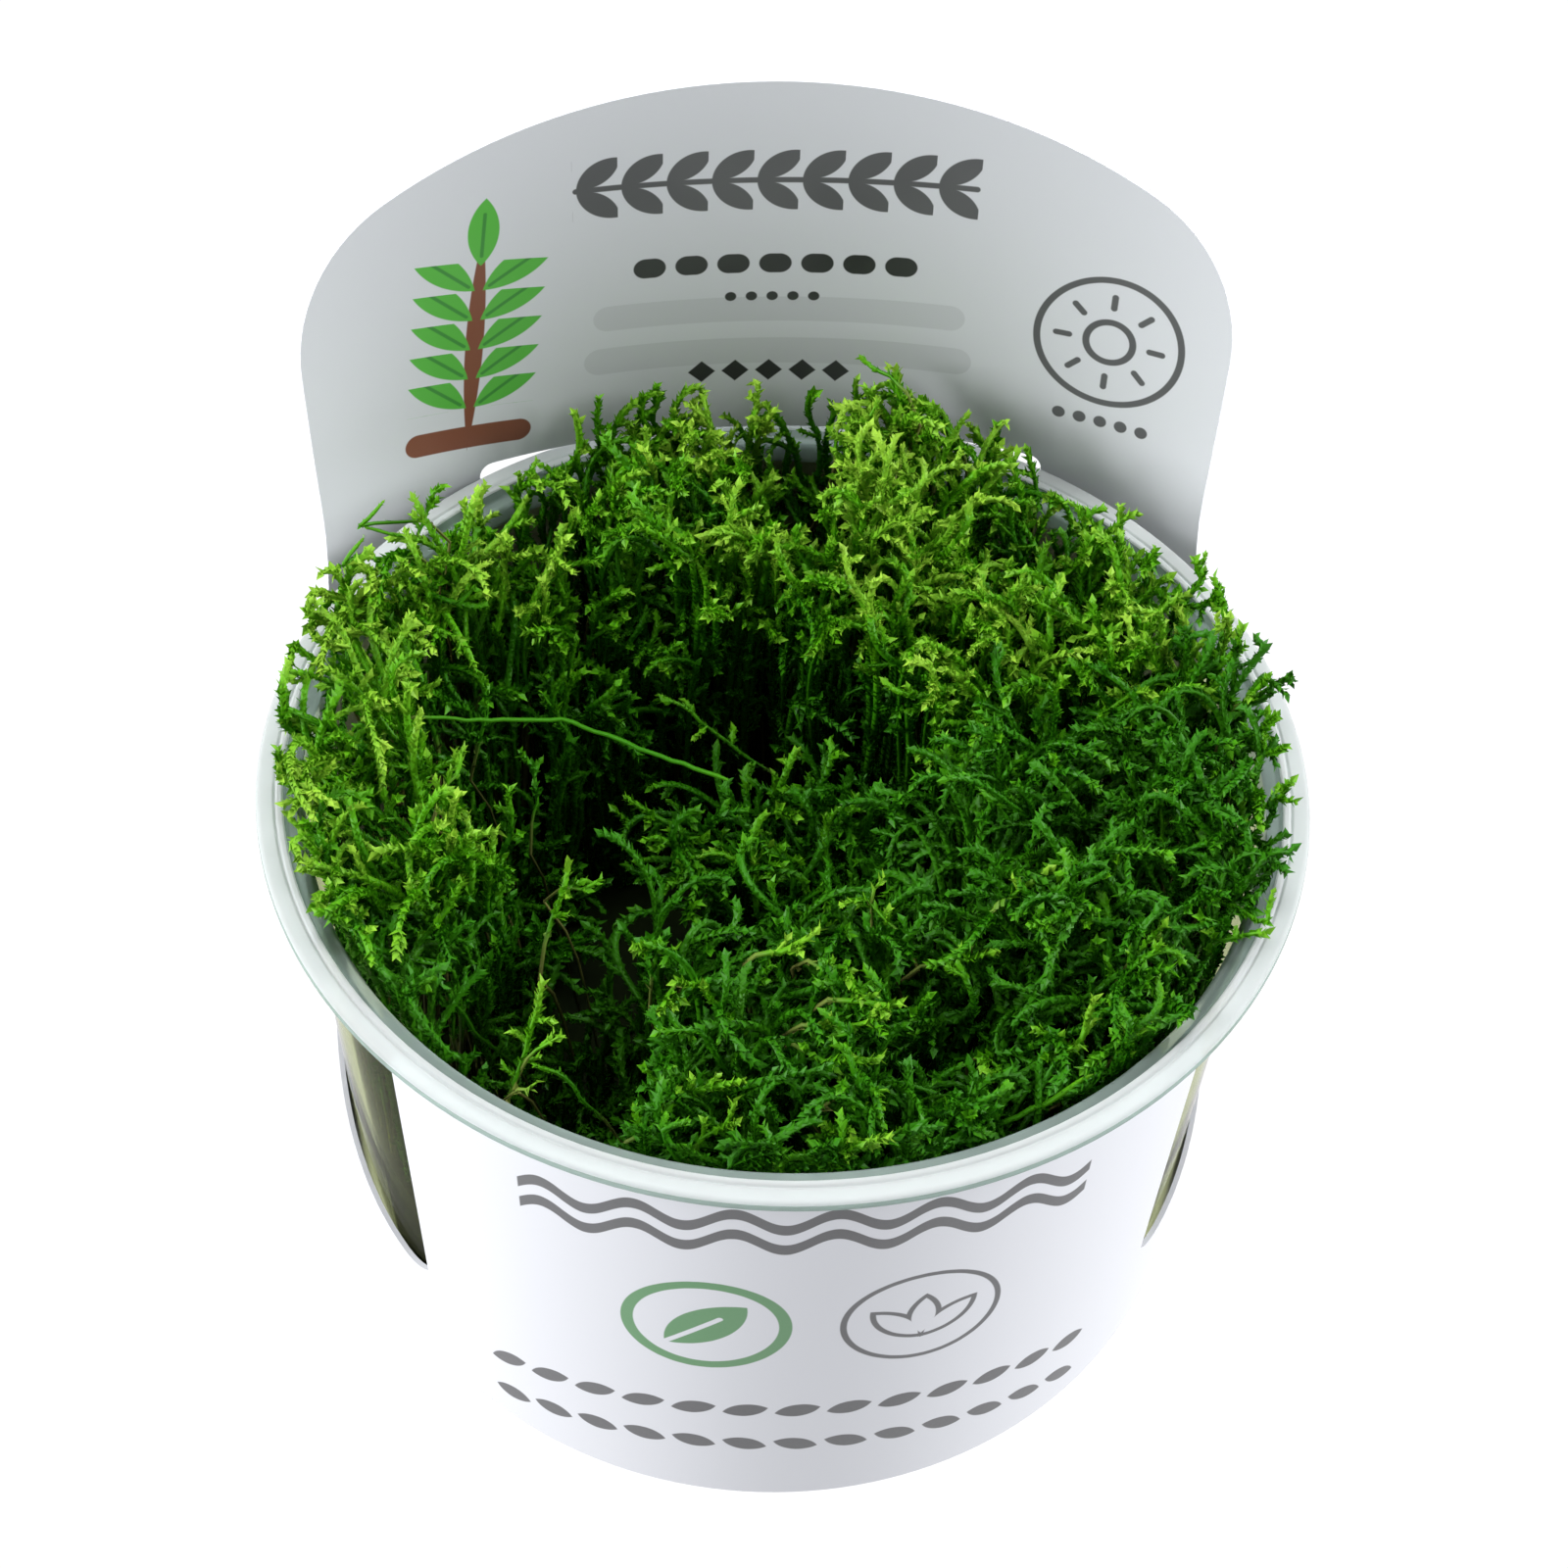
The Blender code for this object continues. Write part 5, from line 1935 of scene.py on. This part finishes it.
@dataclass
class ShootDresser:
    """Geometry Nodes that turn guide lines into stems with spiral rows of leaves."""

    leaf_pitch: float = 0.18 * MM
    leaf_width: float = 0.68
    leaf_keel: float = 0.08
    leaf_recurve: float = 0.16
    spread: float = 28.5
    golden_turn: float = 137.5
    turn_jitter: float = 0.5
    openness: tuple[float, float] = (0.55, 1.25)
    leaf_share: tuple[float, float] = (0.75, 1.2)
    stem_sides: int = 3
    seed: int = 11

    def leaf_mesh(self) -> bpy.types.Object:
        """Make one leaf, a metre long, that the tree repeats.

        Returns:
            Its object: a pointed blade folded along its middle, with its outside towards +X.
        """
        widest = 0.36
        blade = bmesh.new()
        share = blade.verts.layers.float.new("blade")
        places = {"base": (0.0, 0.0, 0.0), "right": (-self.leaf_keel, self.leaf_width / 2, widest),
                  "left": (-self.leaf_keel, -self.leaf_width / 2, widest),
                  "tip": (self.leaf_recurve, 0.0, 1.0)}
        corners = {name: blade.verts.new(place) for name, place in places.items()}
        for vertex in corners.values():
            vertex[share] = vertex.co.z
        blade.faces.new([corners[name] for name in ("base", "right", "tip")])
        blade.faces.new([corners[name] for name in ("base", "tip", "left")])
        return add_object("leaf_pattern", finished_mesh("leaf_pattern", blade))

    def tree(self) -> bpy.types.NodeTree:
        """Build the tree.

        Returns:
            A geometry tree with named inputs for its sizes.
        """
        tree = bpy.data.node_groups.new("dressed_shoots", "GeometryNodeTree")
        sockets = {"Guides": "NodeSocketGeometry", "Leaf": "NodeSocketObject",
                   "Leaf pitch": "NodeSocketFloat", "Leaf spread": "NodeSocketFloat",
                   "Leaf turn": "NodeSocketFloat", "Stem sides": "NodeSocketInt",
                   "Seed": "NodeSocketInt", "Finish": "NodeSocketMaterial"}
        for name, kind in sockets.items():
            tree.interface.new_socket(name=name, in_out="INPUT", socket_type=kind)
        tree.interface.new_socket(name="Shoots", in_out="OUTPUT", socket_type="NodeSocketGeometry")
        graph = Graph(tree)
        group = tree.nodes.new("NodeGroupInput")
        inputs = {name: Wire(graph, group.outputs[name]) for name in sockets}

        def attribute(name: str) -> Wire:
            """Return a number that the guides carry."""
            return graph.node("GeometryNodeInputNamedAttribute", {"data_type": "FLOAT"}, {"Name": name},
                              "Attribute")

        guides = graph.node("GeometryNodeMeshToCurve", None, {"Mesh": inputs["Guides"]})
        smooth = graph.node("GeometryNodeCurveSplineType", {"spline_type": "CATMULL_ROM"},
                            {"Curve": guides})
        rings = graph.node("GeometryNodeResampleCurve", {"mode": "LENGTH"},
                           {"Curve": smooth, "Length": attribute("ring")})
        section = graph.node("GeometryNodeCurvePrimitiveCircle", {"mode": "RADIUS"},
                             {"Resolution": inputs["Stem sides"], "Radius": 1.0})
        stems = graph.node("GeometryNodeCurveToMesh", None,
                           {"Curve": rings, "Profile Curve": section, "Scale": attribute("stem"),
                            "Fill Caps": True})

        rows = graph.node("GeometryNodeResampleCurve", {"mode": "LENGTH"},
                          {"Curve": smooth, "Length": inputs["Leaf pitch"]})
        tangent = graph.node("GeometryNodeInputTangent")
        normal = graph.node("GeometryNodeInputNormal")
        upright = graph.node("FunctionNodeAxesToRotation", {"primary_axis": "Z", "secondary_axis": "X"},
                             {"Primary Axis": tangent, "Secondary Axis": normal})
        index = graph.node("GeometryNodeInputIndex")
        jitter = self.dice(graph, inputs["Seed"], 1, -self.turn_jitter, self.turn_jitter)
        turn = index * inputs["Leaf turn"] + jitter
        spun = graph.node("FunctionNodeRotateRotation", {"rotation_space": "LOCAL"},
                          {"Rotation": upright, "Rotate By": self.turned(graph, (0.0, 0.0, 1.0), turn)})
        open_share = self.dice(graph, inputs["Seed"], 2, *self.openness)
        tilt = inputs["Leaf spread"] * open_share
        leaning = graph.node("FunctionNodeRotateRotation", {"rotation_space": "LOCAL"},
                             {"Rotation": spun, "Rotate By": self.turned(graph, (0.0, 1.0, 0.0), tilt)})
        chance = self.dice(graph, inputs["Seed"], 3, 0.0, 1.0)
        grows = graph.node("FunctionNodeCompare", {"data_type": "FLOAT", "operation": "LESS_THAN"},
                           {"A": chance, "B": attribute("leafy")})
        size = attribute("leaf") * self.dice(graph, inputs["Seed"], 4, *self.leaf_share)
        pattern = graph.node("GeometryNodeObjectInfo", None, {"Object": inputs["Leaf"]}, "Geometry")
        leaves = graph.node("GeometryNodeInstanceOnPoints", None,
                            {"Points": rows, "Selection": grows, "Instance": pattern,
                             "Rotation": leaning, "Scale": self.even(graph, size)})
        real = graph.node("GeometryNodeRealizeInstances", None, {"Geometry": leaves})
        stems = graph.node("GeometryNodeSetShadeSmooth", None, {"Geometry": stems, "Shade Smooth": True})
        real = graph.node("GeometryNodeSetShadeSmooth", None, {"Geometry": real, "Shade Smooth": False})
        joined = tree.nodes.new("GeometryNodeJoinGeometry")
        for part in (real, stems):
            tree.links.new(part.socket, joined.inputs[0])
        dressed = graph.node("GeometryNodeSetMaterial", None,
                             {"Geometry": Wire(graph, joined.outputs[0]), "Material": inputs["Finish"]})
        output = tree.nodes.new("NodeGroupOutput")
        tree.links.new(dressed.socket, output.inputs[0])
        return tree

    @staticmethod
    def dice(graph: Graph, seed: Wire, layer: int, low: float, high: float) -> Wire:
        """Return a random number for each point, its own series for each layer."""
        return graph.node("FunctionNodeRandomValue", {"data_type": "FLOAT"},
                          {"Min_001": low, "Max_001": high, "Seed": seed + layer}, "Value_001")

    @staticmethod
    def turned(graph: Graph, axis: tuple[float, float, float], angle: Wire) -> Wire:
        """Return the rotation by an angle round an axis."""
        return graph.node("FunctionNodeAxisAngleToRotation", None, {"Axis": axis, "Angle": angle})

    @staticmethod
    def even(graph: Graph, size: Wire) -> Wire:
        """Return a scale that is the same along all three axes."""
        return graph.node("ShaderNodeCombineXYZ", None, {"X": size, "Y": size, "Z": size})

    @staticmethod
    def guide_mesh(name: str, shoots: list[Shoot]) -> bpy.types.Mesh:
        """Write guide lines to a mesh of loose edges that carries their numbers.

        Args:
            name: the mesh's name.
            shoots: the guide lines.

        Returns:
            The mesh.
        """
        points = [tuple(point) for shoot in shoots for point in shoot.points]
        edges = []
        start = 0
        for shoot in shoots:
            edges += [(index, index + 1) for index in range(start, start + len(shoot.points) - 1)]
            start += len(shoot.points)
        mesh = bpy.data.meshes.new(name)
        mesh.from_pydata(points, edges, [])
        numbers = {
            "stem": [value for shoot in shoots for value in shoot.stem],
            "leaf": [value for shoot in shoots for value in shoot.leaf],
            "leafy": [value for shoot in shoots for value in shoot.leafy],
            "youth": [value for shoot in shoots for value in shoot.youth],
            "ring": [shoot.ring for shoot in shoots for _ in shoot.points],
        }
        for key, values in numbers.items():
            layer = mesh.attributes.new(key, "FLOAT", "POINT")
            layer.data.foreach_set("value", np.array(values, np.float32))
        return mesh

    def dress(self, name: str, shoots: list[Shoot], tree: bpy.types.NodeTree, leaf: bpy.types.Object,
              material: bpy.types.Material) -> bpy.types.Mesh:
        """Run the tree on guide lines.

        Args:
            name: the finished mesh's name.
            shoots: the guide lines.
            tree: the tree.
            leaf: the leaf that is repeated.
            material: the finish.

        Returns:
            A plain mesh of stems and leaves.
        """
        guides = add_object(name + "_guides", self.guide_mesh(name + "_guides", shoots))
        modifier = guides.modifiers.new("Shoots", "NODES")
        modifier.node_group = tree
        values = {"Leaf": leaf, "Leaf pitch": self.leaf_pitch, "Leaf spread": math.radians(self.spread),
                  "Leaf turn": math.radians(self.golden_turn), "Stem sides": self.stem_sides,
                  "Seed": self.seed, "Finish": material}
        for item in tree.interface.items_tree:
            if item.name in values:
                modifier[item.identifier] = values[item.name]
        mesh = evaluated_mesh(guides)
        mesh.name = name
        for key in ("stem", "leaf", "ring"):
            layer = mesh.attributes.get(key)
            if layer is not None:
                mesh.attributes.remove(layer)
        return mesh


@dataclass
class MossBed:
    """All the tufts: a ring of them round a low one, beside an open hollow."""

    cup: CultureCup
    view: Viewpoint
    tufts: tuple[MossTuft, ...] = (
        MossTuft("right_back", 8, 50, 16, (65, 65, 63), 44.4, Growth.UPRIGHT, 101),
        MossTuft("back_right", 50, 90, 16, (66, 70, 66), 43.4, Growth.UPRIGHT, 102),
        MossTuft("back_left", 90, 141, 20, (67, 67, 62), 42.8, Growth.UPRIGHT, 103),
        MossTuft("left", 141, 206, 22, (68, 66, 63), 45.4, Growth.SWEPT, 104),
        MossTuft("front_left", 206, 261, 19, (62, 60, 59), 43.4, Growth.TANGLED, 105),
        MossTuft("front_right", 261, 317, 15, (59, 60, 61), 45.2, Growth.TANGLED, 106),
        MossTuft("right_front", 317, 368, 16, (63, 65, 66), 46.2, Growth.TANGLED, 107),
        MiddleTuft("middle", 0, 360, 0, (51, 51, 51), 43.0, Growth.LOW, 108),
    )

    def build(self, finish: Finish) -> list[bpy.types.Object]:
        """Grow and dress every tuft.

        Args:
            finish: the moss's finish.

        Returns:
            The finished tufts.
        """
        grower = MossGrower(self.cup, self.view)
        dresser = ShootDresser()
        tree = dresser.tree()
        leaf = dresser.leaf_mesh()
        material = finish.make()
        pieces = []
        for tuft in self.tufts:
            name = f"moss_tuft_{tuft.name}"
            mesh = dresser.dress(name + "_look", grower.grow(tuft), tree, leaf, material)
            pieces.append(add_piece(name + "_look", mesh, material, name))
        bpy.data.objects.remove(leaf, do_unlink=True)
        return pieces


@dataclass
class Lamp:
    """A soft studio light that points at the cup."""

    name: str
    place: tuple[float, float, float]
    size: float
    power: float
    colour: Colour = (1.0, 1.0, 1.0)

    def build(self) -> bpy.types.Object:
        """Return the light."""
        data = bpy.data.lights.new(self.name, "AREA")
        data.shape = "DISK"
        data.size = self.size
        data.energy = self.power
        data.color = self.colour
        lamp = add_object(self.name, data)
        lamp.location = self.place
        aim = Vector((0.0, 0.0, 0.05)) - Vector(self.place)
        lamp.rotation_euler = aim.to_track_quat("-Z", "Y").to_euler()
        return lamp


@dataclass
class Studio:
    """The pale floor, the even sky and the soft lights."""

    floor_size: float = 6.0
    sky: Colour = (1.0, 1.0, 1.0)
    sky_strength: float = 0.20
    lamps: tuple[Lamp, ...] = (
        Lamp("left", (-0.85, -0.10, 0.45), 0.45, 11.5),
        Lamp("right", (0.85, -0.05, 0.50), 0.45, 10.0),
        Lamp("back", (0.10, 0.75, 0.65), 0.45, 3.0),
        Lamp("top", (0.0, 0.05, 1.00), 0.50, 4.5),
    )

    def build(self) -> None:
        """Make the floor, the sky and the lights."""
        made = bmesh.new()
        bmesh.ops.create_grid(made, x_segments=1, y_segments=1, size=self.floor_size / 2)
        mesh = finished_mesh("floor", made)
        mesh.materials.append(PaleFloor("pale_floor").make())
        floor = add_object("floor", mesh)
        world = bpy.data.worlds.new("studio")
        world.use_nodes = True
        sky = world.node_tree.nodes["Background"]
        sky.inputs["Color"].default_value = (*self.sky, 1.0)
        sky.inputs["Strength"].default_value = self.sky_strength
        bpy.context.scene.world = world
        bpy.context.scene.view_settings.view_transform = "Standard"
        for lamp in self.lamps:
            lamp.build()


def main() -> None:
    """Build every sub-assembly in order."""
    logging.basicConfig(level=logging.INFO, format="%(name)s: %(message)s")
    LOG.info("solids: %s", ", ".join(sorted(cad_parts)))
    view = Viewpoint()
    view.build()
    Studio().build()
    cup = CultureCup()
    card = CardSleeve(cup)
    CultureGel(cup).build(CultureJelly("culture_jelly"))
    MossBed(cup, view).build(LivingMoss("living_moss"))
    card.build(PrintedCard("printed_card", half_length=card.half_length, height=card.panel_height))
    cup.build(ClearPlastic("clear_plastic"),
              ClearPlastic("milky_plastic", tint=(0.73, 0.755, 0.765), clearness=0.45, haze=(0.30, 0.42)),
              # The edge and ledge tints are painted shade.
              ClearPlastic("edge_plastic", tint=(0.40, 0.50, 0.46), clearness=0.4, haze=(0.20, 0.30)),
              ClearPlastic("ledge_plastic", tint=(0.36, 0.45, 0.42), clearness=0.5, haze=(0.12, 0.20)))


if __name__ == "__main__":
    main()
